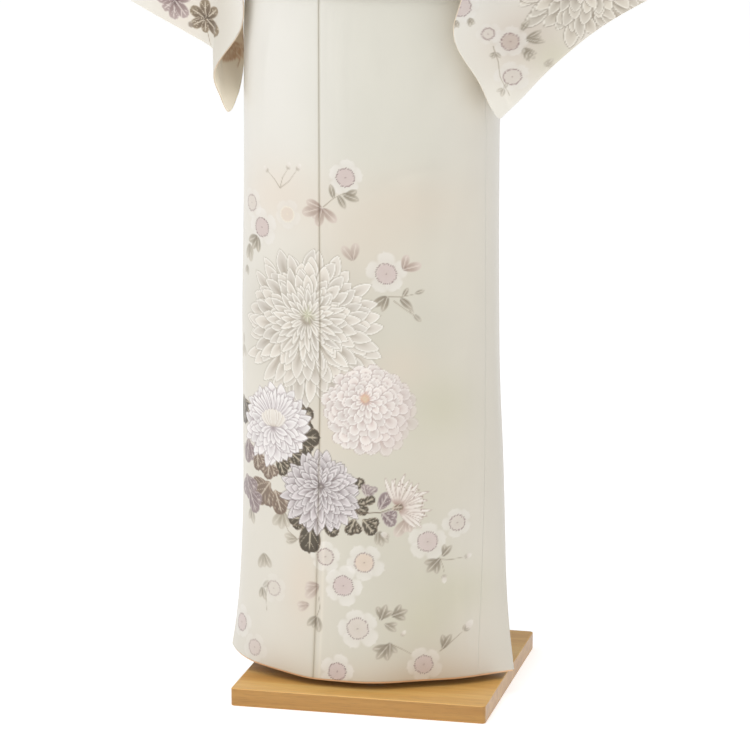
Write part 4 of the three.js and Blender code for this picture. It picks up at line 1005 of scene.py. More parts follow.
def mesh_object(name, points, quads, triangles, smooth=True):
    """A mesh of four-cornered faces and triangles, its points in mm from the garment's axis."""
    mesh = bpy.data.meshes.new(name)
    place = points * MM + np.array(AXIS)
    corners = np.concatenate([np.ravel(quads), np.ravel(triangles)])
    totals = np.repeat([4, 3], [len(quads), len(triangles)])
    starts = np.concatenate([[0], np.cumsum(totals)[:-1]])
    mesh.vertices.add(len(place))
    mesh.vertices.foreach_set("co", place.astype(np.float32).ravel())
    mesh.loops.add(len(corners))
    mesh.loops.foreach_set("vertex_index", corners.astype(np.int32))
    mesh.polygons.add(len(totals))
    mesh.polygons.foreach_set("loop_start", starts.astype(np.int32))
    mesh.polygons.foreach_set("loop_total", totals.astype(np.int32))
    mesh.update(calc_edges=True)
    mesh.polygons.foreach_set("use_smooth", np.full(len(totals), smooth))
    made = bpy.data.objects.new(name, mesh)
    bpy.context.scene.collection.objects.link(made)
    return made


def coarse(count, step):
    """Every step-th index, and always the last."""
    return np.append(np.arange(0, count - 1, step), count - 1)


def quads_of(table, turned=False):
    a, b, c, d = table[:-1, :-1], table[1:, :-1], table[1:, 1:], table[:-1, 1:]
    order = (a, d, c, b) if turned else (a, b, c, d)
    return np.stack(order, axis=-1).reshape(-1, 4)


def ring_solid(name, rings, ends, smooth=True):
    """A closed solid: rings of points from the first end to the last, and each end's middle point."""
    rings = np.asarray(rings, float)
    count = rings.shape[1]
    first, last = len(rings) * count, len(rings) * count + 1
    index = closed_round(np.arange(first).reshape(-1, count))
    caps = [(first, index[0, i + 1], index[0, i]) for i in range(count)]
    caps += [(last, index[-1, i], index[-1, i + 1]) for i in range(count)]
    points = np.concatenate([rings.reshape(-1, 3), ends])
    return mesh_object(name, points, quads_of(index, True), caps, smooth)


def zip_edge(fine, marks, rough, turned):
    """Triangles between a finely divided edge and the roughly divided one whose points lie at marks."""
    faces = []
    for i0, i1, a, b in zip(marks[:-1], marks[1:], rough[:-1], rough[1:]):
        half = (i0 + i1) // 2
        for k in range(i0, i1):
            faces.append((fine[k], fine[k + 1], a if k < half else b))
        faces.append((fine[half], b, a))
    return np.array(faces)[:, ::-1] if turned else np.array(faces)


def closed_round(table):
    """A tube's table with its first column once more at the end."""
    return np.concatenate([table, table[:, :1]], axis=1)


def tube_normals(grid):
    padded = np.concatenate([grid[:, -2:-1], grid, grid[:, 1:2]], axis=1)
    return normals(padded)[:, 1:-1]


def cloth(name, grid, thickness, outward, paint=None, step=4, tube=False):
    """A closed cloth shell on a grid of points, finely divided outside and coarser inside.

    outward: 1 or -1, which side of rows-cross-columns is out. A tube's columns run all the way round.
    The first material slot is the outside and the second the inside.
    """
    if tube:
        grid, paint = closed_round(grid), closed_round(paint)
    rows, columns = grid.shape[:2]
    normal = tube_normals(grid) if tube else normals(grid)
    wall = normal * outward * np.broadcast_to(thickness, (rows, columns))[..., None] / 2
    marks_j, marks_i = coarse(rows, step), coarse(columns, step)
    inner = (grid - wall)[np.ix_(marks_j, marks_i)]
    points = np.concatenate([(grid + wall).reshape(-1, 3), inner.reshape(-1, 3)])
    index = np.arange(rows * columns).reshape(rows, columns)
    rough = rows * columns + np.arange(len(marks_j) * len(marks_i)).reshape(len(marks_j), len(marks_i))
    flip = outward < 0
    outside, inside = quads_of(index, flip), quads_of(rough, not flip)
    edges = [(index[0], marks_i, rough[0], flip), (index[-1], marks_i, rough[-1], not flip)]
    if not tube:
        edges += [(index[:, 0], marks_j, rough[:, 0], not flip), (index[:, -1], marks_j, rough[:, -1], flip)]
    strips = [zip_edge(*edge) for edge in edges]
    same = np.arange(len(points))
    if tube:
        same[index[:, -1]] = index[:, 0]
        same[rough[:, -1]] = rough[:, 0]
    used, renumber = np.unique(same, return_inverse=True)
    faces = np.concatenate([outside, inside])
    made = mesh_object(name, points[used], renumber[faces], renumber[np.concatenate(strips)])
    slots = np.zeros(len(made.data.polygons), np.int32)
    slots[len(outside):len(faces)] = 1
    made.data.polygons.foreach_set("material_index", slots)
    made.data.polygons.foreach_set("use_smooth", np.arange(len(slots)) < len(faces))
    if paint is not None:
        under = np.tile(np.asarray(LINING_COLOUR, float), (rough.size, 1))
        paint_points(made, np.concatenate([paint.reshape(-1, 3), under])[used])
    flat = flat_map(rows, columns, marks_j, marks_i, outside, inside, strips, edges)
    layer = made.data.uv_layers.new(name="OFBake")
    layer.data.foreach_set("uv", flat.astype(np.float32).ravel())
    return made


# The flat map: where the outside, the inside and the rims start across it and how wide each is.
OUTSIDE_LEFT, OUTSIDE_WIDE = 0.005, 0.79
INSIDE_LEFT, INSIDE_WIDE = 0.81, 0.14
RIMS_LEFT, RIM_PITCH, RIM_WIDE = 0.956, 0.011, 0.006


def up_map(share):
    return 0.01 + 0.98 * share


def flat_map(rows, columns, marks_j, marks_i, outside, inside, strips, edges):
    """The corners' places on a flat map: outside, then inside, then the rims in thin strips."""
    u, v = np.arange(columns) / (columns - 1), np.arange(rows) / (rows - 1)
    outer = np.meshgrid(OUTSIDE_LEFT + OUTSIDE_WIDE * u, up_map(v))
    inner = np.meshgrid(INSIDE_LEFT + INSIDE_WIDE * u[marks_i], up_map(v[marks_j]))
    table = np.concatenate([np.stack(part, axis=-1).reshape(-1, 2) for part in (outer, inner)])
    parts = [table[outside.ravel()], table[inside.ravel()]]
    for k, (strip, (fine, marks, rough, _)) in enumerate(zip(strips, edges)):
        local = np.zeros((len(table), 2))
        left = RIMS_LEFT + RIM_PITCH * k
        local[fine, 0], local[fine, 1] = left, up_map(np.arange(len(fine)) / (len(fine) - 1))
        local[rough, 0], local[rough, 1] = left + RIM_WIDE, up_map(marks / (len(fine) - 1))
        parts.append(local[strip.ravel()])
    return np.concatenate(parts)


def paint_points(made, colours):
    layer = made.data.color_attributes.new("Paint", "FLOAT_COLOR", "POINT")
    rgba = np.ones((len(colours), 4), np.float32)
    rgba[:, :3] = linear(np.clip(colours, 0, 255))
    layer.data.foreach_set("color", rgba.ravel())


def piece(made, materials, slot_name, *node_names):
    """Gives a mesh its materials, hangs it on the root body and hides the nodes it stands for."""
    for material in materials:
        made.data.materials.append(material)
    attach(made, "root")
    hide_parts(*node_names)
    return made


# ---------------------------------------------------------------- overlap panels

PAINTED_TOP = 750           # the flowers end below this height
FINE, PLAIN = 1.42, 7.0     # spacing of points where cloth is painted and where it is plain
OKUMI_REACH = {"z": [958, 972, 1010, 1045], "reach": [OKUMI_WIDTH, 148, 123, 98]}
COLLAR_LEAN = (-0.83, 0.56)


def levels_to(top, fine=FINE):
    painted = np.arange(HEM_BASE, PAINTED_TOP, fine)
    return np.concatenate([painted, np.arange(PAINTED_TOP, top - 2, PLAIN), [top]])


def collar_line_x(z):
    (x0, z0), (x1, z1) = COLLAR_LINE["from"], COLLAR_LINE["to"]
    return x0 + (z - z0) * (x1 - x0) / (z1 - z0)


def hung(w, z):
    """A table of widths and heights, its lowest rows lifted to the line of the hem."""
    lift = (hem_z(w) - HEM_BASE) * np.exp(-(z - HEM_BASE) / HEM_FADE)
    return np.broadcast_arrays(w, z + lift)


def okumi_rows(seam_w, direction, levels, shares):
    z = np.asarray(levels, float)[:, None]
    reach = np.interp(z, OKUMI_REACH["z"], OKUMI_REACH["reach"])
    return hung(seam_w + direction * mix(GAP, reach, shares[None, :]), z)


def okumi_chest(side, drop, shares):
    rows = []
    for z in (1072, 1100, 1143):
        x = side * mix(OKUMI_SEAM_X - 2 * GAP, collar_line_x(z) + 2, shares)
        rows.append(chest(x, z, "front", drop(x, z)))
    return rows


def no_drop(x, z):
    return np.zeros(np.shape(x))


def make_left_overlap(looks):
    """The painted skirt part of the left overlap, on top of everything in front."""
    w, z = okumi_rows(0, -1, levels_to(972, 1.25), np.linspace(0, 1, 124))
    canvas = Canvas(w, z)
    paint_skirt(canvas)
    skirt = cloth("overlap_left_skirt", wrap(w, z, creases(w, z)), CLOTH, 1, canvas.rgb)
    piece(skirt, looks, "silk", "okumi_left")


def make_right_overlap(looks):
    """The right overlap's skirt part, hidden under the left front but for its hem."""
    levels = np.append(np.arange(HEM_BASE, 960, 9.0), 972)
    w, z = okumi_rows(OKUMI_SEAM_RIGHT, 1, levels, np.linspace(0, 1, 24))
    grid = wrap(w, z, under_creases(w, z))
    skirt = cloth("overlap_right_skirt", grid, CLOTH, -1, plain_paint(grid), step=2)
    piece(skirt, looks, "silk", "okumi_right")


def make_overlap_top(word, seam_w, side, drop, looks):
    """The plain upper end of an overlap, which runs from behind the sash to the collar's line."""
    shares = np.linspace(0, 1, 24)
    w, z = okumi_rows(seam_w, -side, [976, 1010, 1045], shares)
    rows = list(wrap(w, z)) + okumi_chest(side, drop, shares)
    grid = catmull(rows, [6, 6, 5, 6, 9])
    top = cloth("overlap_" + word + "_top", grid, CLOTH, side, plain_paint(grid), step=2)
    piece(top, looks, "silk", "okumi_" + word)


def under_creases(w, z):
    """Hidden layers hang nearly smooth, with a low wave at the hem."""
    return 0.5 * np.sin(w / 40.0) * np.exp(-(z - HEM_BASE) / 60.0)


def plain_paint(grid):
    return np.broadcast_to(np.asarray(IVORY, float), grid.shape).copy()


# ---------------------------------------------------------------- body lengths

SPLIT_Z = 1000              # the skirt's front and the upper part meet here, behind the sash
UPPER_STEPS = 8
SHARES = np.linspace(0, 1, 100)             # across a body length, from its inner seam to its side
TOWARDS_SIDE = 1 - (1 - SHARES) ** 1.5      # the same, closer together at the side
BACK_LEVELS = np.concatenate([np.arange(HEM_BASE, 420, 2.6), np.arange(420, 1043, 7.0), [1045]])[::-1]
HIDDEN_LEVELS = np.append(np.arange(HEM_BASE, 995, 9.0), SPLIT_Z)


def skirt_part(widths, levels, folds):
    w, z = hung(widths[None, :], levels[:, None])
    return wrap(w, z, folds(w, z)), w, z


def make_left_front(looks):
    """The painted front of the left body length, from the hem to behind the sash."""
    widths = mix(GAP, SIDE_LEFT, np.linspace(0, 1, 164))
    grid, w, z = skirt_part(widths, levels_to(SPLIT_Z), creases)
    canvas = Canvas(w, z)
    paint_skirt(canvas)
    made = piece(cloth("body_left_skirt", grid, CLOTH, -1, canvas.rgb), looks, "silk", "body_left")


def upper_rows(side, front_w):
    """Control rows from behind the sash in front, over the shoulder, to the sash at the back."""
    rows = [wrap(front_w, z) for z in (SPLIT_Z + 4, 1022, 1045)]
    rows += body_rows(side, "front", FRONT_ROWS, SHARES, 1.5)
    rows.append(shoulder_row(side, SHARES))
    return rows + body_rows(side, "back", BACK_ROWS, SHARES, 1.8)


def painted_back(w, z):
    canvas = Canvas(w, z)
    paint_back(canvas)
    return canvas.rgb


def make_left_back(looks):
    """The rest of the left body length: its chest, shoulder and whole back."""
    front_w = mix(GAP, SIDE_LEFT, TOWARDS_SIDE)
    back_w = mix(CENTRE_BACK - GAP, SIDE_LEFT, TOWARDS_SIDE)
    back, w, z = skirt_part(back_w, BACK_LEVELS, creases)
    control = upper_rows(1, front_w) + [back[0]]
    upper = catmull(control, [UPPER_STEPS] * (len(control) - 1))[:-1]
    grid = np.concatenate([chest_folds(upper), back])
    paint = np.concatenate([plain_paint(upper), painted_back(w, z)])
    made = piece(cloth("body_left_back", grid, CLOTH, -1, paint), looks, "silk", "body_left")


def make_right_body(looks):
    """The right body length in one: hidden front skirt, chest, shoulder and back."""
    front_w = mix(OKUMI_SEAM_RIGHT - GAP, SIDE_RIGHT + GAP, TOWARDS_SIDE)
    back_w = mix(CENTRE_BACK + GAP, SIDE_RIGHT - GAP, TOWARDS_SIDE)
    front = skirt_part(front_w, HIDDEN_LEVELS, under_creases)[0]
    back, w, z = skirt_part(back_w, BACK_LEVELS, creases)
    control = [front[-1]] + upper_rows(-1, front_w) + [back[0]]
    upper = catmull(control, [UPPER_STEPS] * (len(control) - 1))[1:-1]
    grid = np.concatenate([front, chest_folds(upper), back])
    paint = np.concatenate([plain_paint(front), plain_paint(upper), painted_back(w, z)])
    made = piece(cloth("body_right_length", grid, CLOTH, 1, paint), looks, "silk", "body_right")


# Soft folds above the sash: from (x, z) to (x, z), half width, depth; front and back.
CHEST_FOLDS = [
    (150, 1190, 40, 1075, 9, 1.2), (158, 1120, 90, 1060, 8, 1.0), (60, 1260, 96, 1150, 10, -0.8),
    (-150, 1180, -60, 1075, 10, 1.1), (-120, 1240, -96, 1130, 9, 1.0), (-158, 1110, -110, 1060, 7, 0.9),
]


def chest_folds(grid):
    """Presses the listed folds into the cloth above the sash."""
    moved = grid.copy()
    x, y, z = grid[..., 0], grid[..., 1], grid[..., 2]
    fade = ease((np.abs(y - RIDGE_Y) - 25) / 30) * ease((z - 1052) / 20)
    moved[..., 1] += np.sign(y - RIDGE_Y) * fade * fold_relief(x, z, CHEST_FOLDS, 0.1, 0.35)
    return moved


# The back's own dye, sprays and blossoms, laid out as in front.
BACK_HAZES = [
    (420, 110, 70, 50, OLIVE, 0.35), (560, 140, 70, 60, WARM, 0.35), (690, 120, 60, 50, OLIVE, 0.3),
]
BACK_SPRAYS = [
    (402, 140, [200, 250, 40, 90], 34, "rosy", 0.8), (560, 150, [120, 70, 20, 170], 34, "soft", 0.8),
    (668, 120, [60, 100, 150], 28, "rosy", 0.8),
]
BACK_BLOSSOMS = [
    (344, 96, 24, PALE_DISC, 0.9), (346, 190, 22, PEACH, 0.1), (388, 96, 27, MAUVE, 0.5),
    (436, 160, 24, PALE_DISC, 0.2), (470, 96, 26, PEACH, 0.8), (540, 100, 26, MAUVE, 0.4),
    (592, 170, 24, PALE_DISC, 0.7), (640, 92, 24, MAUVE, 0.0), (706, 130, 24, PEACH, 0.6),
    (752, 98, 22, PALE_DISC, 1.0),
]


def paint_back(canvas):
    """A few of the same flowers low on the back, softer than in front."""
    skirt_ground_and_shade(canvas)
    for place in HAZES + BACK_HAZES:
        haze(canvas, *place)
    for place in BACK_SPRAYS:
        spray(canvas, *place)
    for place in BACK_BLOSSOMS:
        blossom(canvas, *place, cover=0.8)
    paint_seam_shade(canvas)


# ---------------------------------------------------------------- collar

COLLAR_COLUMNS = 3
COLLAR_STEPS = 6
COLLAR_ROWS_ON_LINE = [
    (collar_line_x(1058), 1058, 34), (collar_line_x(1074), 1074, 48),
    (collar_line_x(1100), 1100, COLLAR_WIDTH), (OKUMI_SEAM_X, 1148, COLLAR_WIDTH),
    (0, 1218, COLLAR_WIDTH), (36, 1273, COLLAR_WIDTH),
]


def collar_control():
    """Rows of the collar from the left end behind the sash, round the neck, to the right end."""
    left, right = collar_half(0, 1, no_drop), collar_half(OKUMI_SEAM_RIGHT, -1, underlap)
    return left + [standing_row(*COLLAR_NAPE)] + right[::-1]


def collar_half(seam_w, side, drop):
    rows = []
    for w, z, reach in COLLAR_ON_OKUMI:
        rows.append(wrap(seam_w - side * (np.linspace(0.5, reach, COLLAR_COLUMNS + 1) - w), z))
    for x, z, width in COLLAR_ROWS_ON_LINE:
        reach = np.linspace(0.5, width, COLLAR_COLUMNS + 1)
        px, pz = side * (x + COLLAR_LEAN[0] * reach), z + COLLAR_LEAN[1] * reach
        rows.append(chest(px, pz, "front", drop(px, pz)))
    for (seam_x, seam_z), (free_x, free_y, free_z), lift in COLLAR_NECK:
        sx, fx = side * seam_x, side * free_x
        seam = chest(sx, seam_z, "front", drop(sx, seam_z))
        rows.append(standing_row(seam, (fx, free_y - float(drop(fx, free_z)), free_z), lift))
    for (sx, sy, sz), (fx, fy, fz), lift in COLLAR_BACK:
        rows.append(standing_row((side * sx, sy, sz), (side * fx, fy, fz), lift))
    return rows


def standing_row(seam, free, lift):
    """A row of the collar from just above its seam, lift mm up, to its free edge."""
    seam, free = np.asarray(seam, float), np.asarray(free, float)
    start = mix(seam, free, lift / np.linalg.norm(free - seam))
    return start + (free - start) * np.linspace(0, 1, COLLAR_COLUMNS + 1)[:, None]


def make_collar(looks):
    """The collar, thinner towards both edges, and the over-collar laid on it round the neck."""
    control = collar_control()
    along_it = catmull(control, [COLLAR_STEPS] * (len(control) - 1))
    columns = [along_it[:, i] for i in range(COLLAR_COLUMNS + 1)]
    grid = catmull(columns, [6] * COLLAR_COLUMNS).swapaxes(0, 1)
    t = np.linspace(-1, 1, grid.shape[1])
    thick = COLLAR_CLOTH * (1 - 0.65 * np.abs(t) ** 6)
    made = cloth("collar_band", grid, thick[None, :], collar_outward(grid), plain_paint(grid), step=2)
    piece(made, looks, "silk", "collar")
    ends = (len(COLLAR_ON_OKUMI) + 3) * COLLAR_STEPS
    over = grid[ends:-ends]
    shifted = over + normals(over) * collar_outward(over) * (COLLAR_CLOTH / 2 + 0.8)
    thick = LINING_CLOTH * (1 - 0.5 * np.abs(t) ** 6)
    made = cloth("over_collar_band", shifted, thick[None, :], collar_outward(over), plain_paint(over), step=2)
    piece(made, looks, "silk", "over_collar")


def collar_outward(grid):
    """1 or -1: which side of rows-cross-columns faces away from the neck, judged at the middle row."""
    middle = normals(grid)[len(grid) // 2, grid.shape[1] // 2]
    return 1 if middle[1] > 0 else -1


# ---------------------------------------------------------------- sash

SASH = {"cloth": 1.4, "start": 440, "lap": 60, "out": 3.6, "pitch": 2.6}


def make_sash(sash_look):
    """The plain sash, once round the waist and lapped at the back, with a few shallow wrinkles."""
    around_top = float(np.interp(SASH_HIGH, LEVELS, TOTAL))
    around_low = float(np.interp(SASH_LOW, LEVELS, TOTAL))
    t = np.linspace(0, 1, 330)
    rows = []
    for z in np.linspace(SASH_LOW, SASH_HIGH, 30):
        around = float(np.interp(z, LEVELS, TOTAL))
        turns = t * (1 + SASH["lap"] / around_low)
        length = SASH["start"] * (around / around_top) + turns * around
        share = float(np.interp(z, TAKE_IN["z"], TAKE_IN["share"]))
        across = (z - SASH_LOW) / (SASH_HIGH - SASH_LOW)
        wrinkle = 0.35 * np.sin(9.0 * across + 1.8 * np.sin(length / 90.0)) * np.sin(length / 47.0) ** 2
        soft_edge = -0.15 * (ease((0.06 - across) / 0.06) + ease((across - 0.94) / 0.06))
        out = LAP_PITCH * length / around + SASH["out"] + SASH["pitch"] * turns + wrinkle + soft_edge
        rows.append(wrap(length / share, z, out))
    made = cloth("sash_band", np.array(rows), SASH["cloth"], -1, step=3)
    piece(made, (sash_look, sash_look), "sash_cloth", "waist_sash")


# ---------------------------------------------------------------- hem lining

# The facing's rows: how far below the hem, and what share of the way up to its sewn edge.
FACING_ROWS = [(2.5, 0), (2.0, 0), (1.2, 0), (0, 0), (0, 0.2), (0, 0.5), (0, 1)]
FACING_TOP = 95.0


def make_hem_lining(inside_look):
    """The facing just inside the hem, whose rolled edge shows below the outer silk."""
    w = np.linspace(-OKUMI_WIDTH + 2, OKUMI_SEAM_RIGHT + OKUMI_WIDTH - 2, 330)
    rows = []
    for below, share in FACING_ROWS:
        z = mix(hem_z(w) - below, FACING_TOP, share)
        moved = np.where(w < SIDE_RIGHT - 40, creases(w, z), under_creases(w, z))
        rows.append(wrap(w, z, moved - (CLOTH / 2 + 0.75 + LINING_CLOTH / 2)))
    made = cloth("hem_facing", np.array(rows), LINING_CLOTH, -1, step=2)
    piece(made, (inside_look, inside_look), "lining_silk", "hem_lining")


# ---------------------------------------------------------------- sleeves

LINING_EDGE = 4             # how far the lining stands past the back's inner edge below the sash


def table_at(table, z, column):
    """A column of an edge or fold table at height z."""
    heights = [row[0] for row in table][::-1]
    return float(eased(heights, [row[column] for row in table][::-1], z))


def loop_from(side, top, front, bottom, back):
    points = np.array([top] + front + [bottom] + back[::-1], float)
    points[:, 0] *= side
    return points


def inner_loop(side, edge):
    def point(z, face):
        if z > edge[0][0]:
            x, y, height = chest(float(chest_row("edge_x", z)), z, "front" if face == 1 else "back")
            return [x + ARMHOLE_CLEAR, y, height]
        return [table_at(edge, z, face), table_at(edge, z, face + 1), z]
    front = [point(z, 1) for _, z, _ in LOOP]
    back = [point(z, 3) for _, z, _ in LOOP]
    tip = edge[-1]
    top = [SHOULDER_X + ARMHOLE_CLEAR, RIDGE_Y, SHOULDER_Z]
    return loop_from(side, top, front, [tip[1], tip[2], tip[0]], back)


def sleeve_top(x):
    return ROD_Z + (x - SHOULDER_X) * ROD_RISE + SLEEVE_TOP_RADIUS


def hanging_loop(side, x, bottom_z, closing):
    top = sleeve_top(x)

    def face(sign):
        points = []
        for share, _, half in LOOP:
            z = mix(top, bottom_z, share)
            drop = top - z
            open_share = 1 if drop < CUFF_DEPTH else mix(1, closing, float(ease((drop - CUFF_DEPTH) / 30)))
            points.append([x, RIDGE_Y + sign * half * open_share, z])
        return points
    return loop_from(side, [x, RIDGE_Y, top], face(-1), [x, RIDGE_Y, bottom_z], face(1))


def fold_loop(side, fold):
    tip = fold[-1]
    x = tip[1]
    top = sleeve_top(x)

    def face(column, sign):
        points = []
        for share, _, half in LOOP:
            z = mix(top, tip[0], share)
            if z > fold[0][0]:
                t = (top - z) / (top - fold[0][0])
                shoulder_y = RIDGE_Y + sign * half
                points.append([mix(x, fold[0][column], t), mix(shoulder_y, fold[0][column + 1], t * t), z])
            else:
                points.append([table_at(fold, z, column), table_at(fold, z, column + 1), z])
        return points
    return loop_from(side, [x, RIDGE_Y, top], face(1, -1), [tip[1], tip[2], tip[0]], face(3, 1))


def sleeve_control(side, shape):
    """The sleeve's control loops, from its open body side to the cuff."""
    inner, fold = inner_loop(side, shape["edge"]), fold_loop(side, shape["fold"])
    loops = [inner, mix(inner, fold, 0.5), fold]
    bottom_x, bottom_z = zip(*shape["bottom"])
    for x, closing, fade in SLEEVE_STATIONS:
        loop = hanging_loop(side, x, float(eased(bottom_x, bottom_z, x)), closing)
        carried = loop.copy()
        carried[:, 1] = fold[:, 1]
        loops.append(mix(loop, carried, fade))
    return loops


# Steps between loops along the arm, and between points round a loop: the lower front is finest.
SLEEVE_STEPS = [18, 18, 28, 36, 38, 22, 8, 5]
ROUND_STEPS = [2, 3, 6, 9, 10, 10, 54, 38, 38, 25, 11, 10, 24, 34, 8, 11, 4, 9, 9, 6, 3, 2]
SLEEVE_BOTTOM = sum(ROUND_STEPS[:len(ROUND_STEPS) // 2])        # the column of the lowest point
LINED_STEPS = 6             # the lining leaves out so many steps of a loop at the top, front and back

# Soft hanging folds of a sleeve: from (x, z) to (x, z), half width, depth.
SLEEVE_FOLDS = [
    (262, 1230, 286, 960, 16, 1.6), (330, 1250, 322, 1010, 18, -1.4), (392, 1290, 380, 1040, 14, 1.3),
    (300, 1090, 340, 940, 12, 1.0), (236, 1180, 244, 900, 10, 0.9), (430, 1300, 424, 1080, 9, 0.9),
]


def sleeve_folds(grid):
    moved = grid.copy()
    x, z = np.abs(grid[..., 0]), grid[..., 2]
    fade = ease((x - 215) / 30) * ease((sleeve_top(x) - z - 30) / 60) * ease((456 - x) / 14)
    moved[..., 1] += fade * fold_relief(x, z, SLEEVE_FOLDS, 0.15, 0.4)
    return moved


def make_sleeve(name, side, looks, inside_look, painter):
    """A sleeve in one piece, painted in front, and the lining in its open body side."""
    loops = catmull(sleeve_control(side, SLEEVES[name]), SLEEVE_STEPS)
    columns = [loops[:, i] for i in range(loops.shape[1])]
    grid = sleeve_folds(catmull(columns, ROUND_STEPS, closed=True).swapaxes(0, 1))
    outward = tube_outward(grid)
    paint = plain_paint(grid)
    canvas = Canvas(grid[:, :SLEEVE_BOTTOM + 1, 0].T, grid[:, :SLEEVE_BOTTOM + 1, 2].T)
    painter(canvas)
    paint[:, :SLEEVE_BOTTOM] = canvas.rgb.swapaxes(0, 1)[:, :-1]
    made = cloth("sleeve_" + name + "_silk", grid, CLOTH, outward, paint, tube=True)
    piece(made, looks, "silk", "sleeve_" + name)
    make_sleeve_lining(name, grid, outward, inside_look)


def make_sleeve_lining(name, sleeve, outward, inside_look):
    """The strip of lining inside the open body side, which shows at the back's inner edge."""
    first, last = sum(ROUND_STEPS[:LINED_STEPS]), sum(ROUND_STEPS[:-LINED_STEPS])
    out_of_sleeve = (tube_normals(closed_round(sleeve)) * outward)[:, :-1]
    lined = slice(0, sum(SLEEVE_STEPS[:2]) + 1), slice(first, last + 1)
    grid = sleeve[lined] - out_of_sleeve[lined] * (CLOTH / 2 + 0.35 + LINING_CLOTH / 2)
    way = grid[:1] - grid[1:2]
    way = way / np.linalg.norm(way, axis=2, keepdims=True)
    past_bottom = np.arange(grid.shape[1]) - (SLEEVE_BOTTOM - first)
    reach = LINING_EDGE * ease(past_bottom / 16)[None, :, None]
    grid[:1] += way * reach * ease((940 - grid[:1, :, 2:]) / 30)
    canvas = Canvas(grid[..., 0].T, grid[..., 2].T)
    paint_sleeve_lining_and_light(canvas)
    paint = canvas.rgb.swapaxes(0, 1)
    made = cloth("sleeve_lining_" + name + "_silk", grid, LINING_CLOTH, -outward, paint, step=2)
    piece(made, (inside_look, inside_look), "lining_silk", "sleeve_lining_" + name)


def tube_outward(grid):
    """1 or -1: which side of rows-cross-columns faces out of a sleeve."""
    closed = closed_round(grid)
    row = len(grid) // 2
    away = closed[row] - closed[row].mean(0)
    return 1 if (tube_normals(closed)[row] * away).sum() > 0 else -1


def paint_sleeve_lining_and_light(canvas):
    # The ground is painted far lighter than the lining's own colour: painted light in the sleeve's shaded
    # opening.
    canvas.rgb[:] = (250, 240, 220)
    haze(canvas, -184, 886, 16, 30, (236, 204, 164), 0.6)
    stroke(canvas, [(-184, 886), (-185, 866), (-187, 848)], 1.6, (190, 150, 112))
    leaf(canvas, -185, 858, 128, 22, "russet", 3)
    leaf(canvas, -185, 872, 165, 17, "russet", 2)


def paint_left_sleeve(canvas):
    """The wearer's left sleeve, on the right as seen from the front."""
    ground(canvas)
    haze(canvas, 215, 900, 60, 60, WARM, 0.35)
    haze(canvas, 212, 906, 34, 30, (204, 192, 180), 0.6)
    haze(canvas, 260, 930, 60, 50, (206, 196, 182), 0.5)
    haze(canvas, 248, 880, 26, 26, OLIVE, 0.5)
    blossom(canvas, 140, 950, 24, MAUVE, 0.3, cover=0.7)
    spray(canvas, 134, 934, [262, 290, 240], 15, "sepia", 0.8)
    spray(canvas, 150, 936, [275, 300], 15, "sepia", 0.8)
    petal_rings(canvas, (288, 982), (290, 990), [
        (48, 88, 28, 15), (38, 78, 26, 15), (29, 67, 24, 14.5), (21, 55, 22, 13.5), (14, 43, 18, 12),
        (8, 30, 15, 9), (4, 18, 12, 7)], CHRYSANTHEMUMS["pale"], seed=8.0, flat=0.95)
    blossom(canvas, 198, 903, 22, DUSK, 0.2, cover=0.7)
    blossom(canvas, 172, 914, 15, PALE_DISC, 0.7, cover=0.5)
    blossom(canvas, 200, 857, 21, PALE_DISC, 0.5, cover=0.65)
    stroke(canvas, [(178, 898), (184, 878), (186, 858), (196, 832)], 1.2, (160, 146, 126), 0.7)
    spray(canvas, 181, 890, [215, 245, 310], 13, "sepia", 0.75)
    spray(canvas, 190, 842, [200, 250, 60], 14, "sepia", 0.5)
    spray(canvas, 211, 916, [78, 56], 18, "sepia", 0.85, 0.36)
    spray(canvas, 216, 905, [30, 8, -12], 24, "sepia", 0.9, 0.34)
    spray(canvas, 213, 894, [-30, -50, -70], 24, "sepia", 0.9, 0.34)
    spray(canvas, 236, 870, [30, 350], 18, "soft", 0.7)


def paint_right_sleeve(canvas):
    """The wearer's right sleeve."""
    ground(canvas)
    haze(canvas, -240, 930, 60, 50, WARM, 0.35)
    haze(canvas, -200, 930, 26, 120, (214, 208, 196), 0.8)
    spray(canvas, -265, 938, [172, 216, 262, 306, 16, 60], 31, "twilight", 1.0, 0.62)
    spray(canvas, -221, 915, [38, 92, 148, 206, 262, 318], 30, "umber", 1.0, 0.62)
    spot(canvas, -244, 906, 4, (146, 132, 118), 0.85, soft=1.6)
    stroke(canvas, [(-244, 908), (-234, 914), (-221, 915)], 1.2, (206, 194, 176), 0.9)
    stroke(canvas, [(-221, 915), (-220, 898), (-217, 880)], 1.3, (150, 130, 108), 0.9)


def ground(canvas):
    low = ease((1000 - canvas.y) / 160)
    canvas.rgb[:] = mix(np.array(IVORY, float), np.array(PALE, float), low[..., None])


# ---------------------------------------------------------------- form, rods, pole and board

FORM_SIDES, BAR_SIDES = 128, 48
BAR_END = [(0, 1), (0.35, 0.35), (1, 0)]                # a bar's eased end: how far in, how much thinner
BOARD_EDGE = [(0, 1), (0.5, 0.3), (1, 0)]               # the same for the board, in shares of its bevel
BOARD_CORNER, BOARD_BEVEL, CORNER_STEPS = 5, 1.6, 8


def make_form(cover_look):
    """The limbless form: smooth rings closed below and at the neck."""
    x0, y0 = FORM_SHIFT
    angle = 2 * math.pi * np.arange(FORM_SIDES) / FORM_SIDES
    rings = [
        np.stack([x0 + x * np.cos(angle), y0 + y * np.sin(angle), np.full(FORM_SIDES, z)], axis=-1)
        for z, x, y in catmull(FORM, [6] * (len(FORM) - 1))
    ]
    made = ring_solid("form_body", rings, [(x0, y0, FORM[0][0] - 0.5), (x0, y0, FORM[-1][0] + 1)])
    piece(made, (cover_look,), "form_cover", "form_torso")


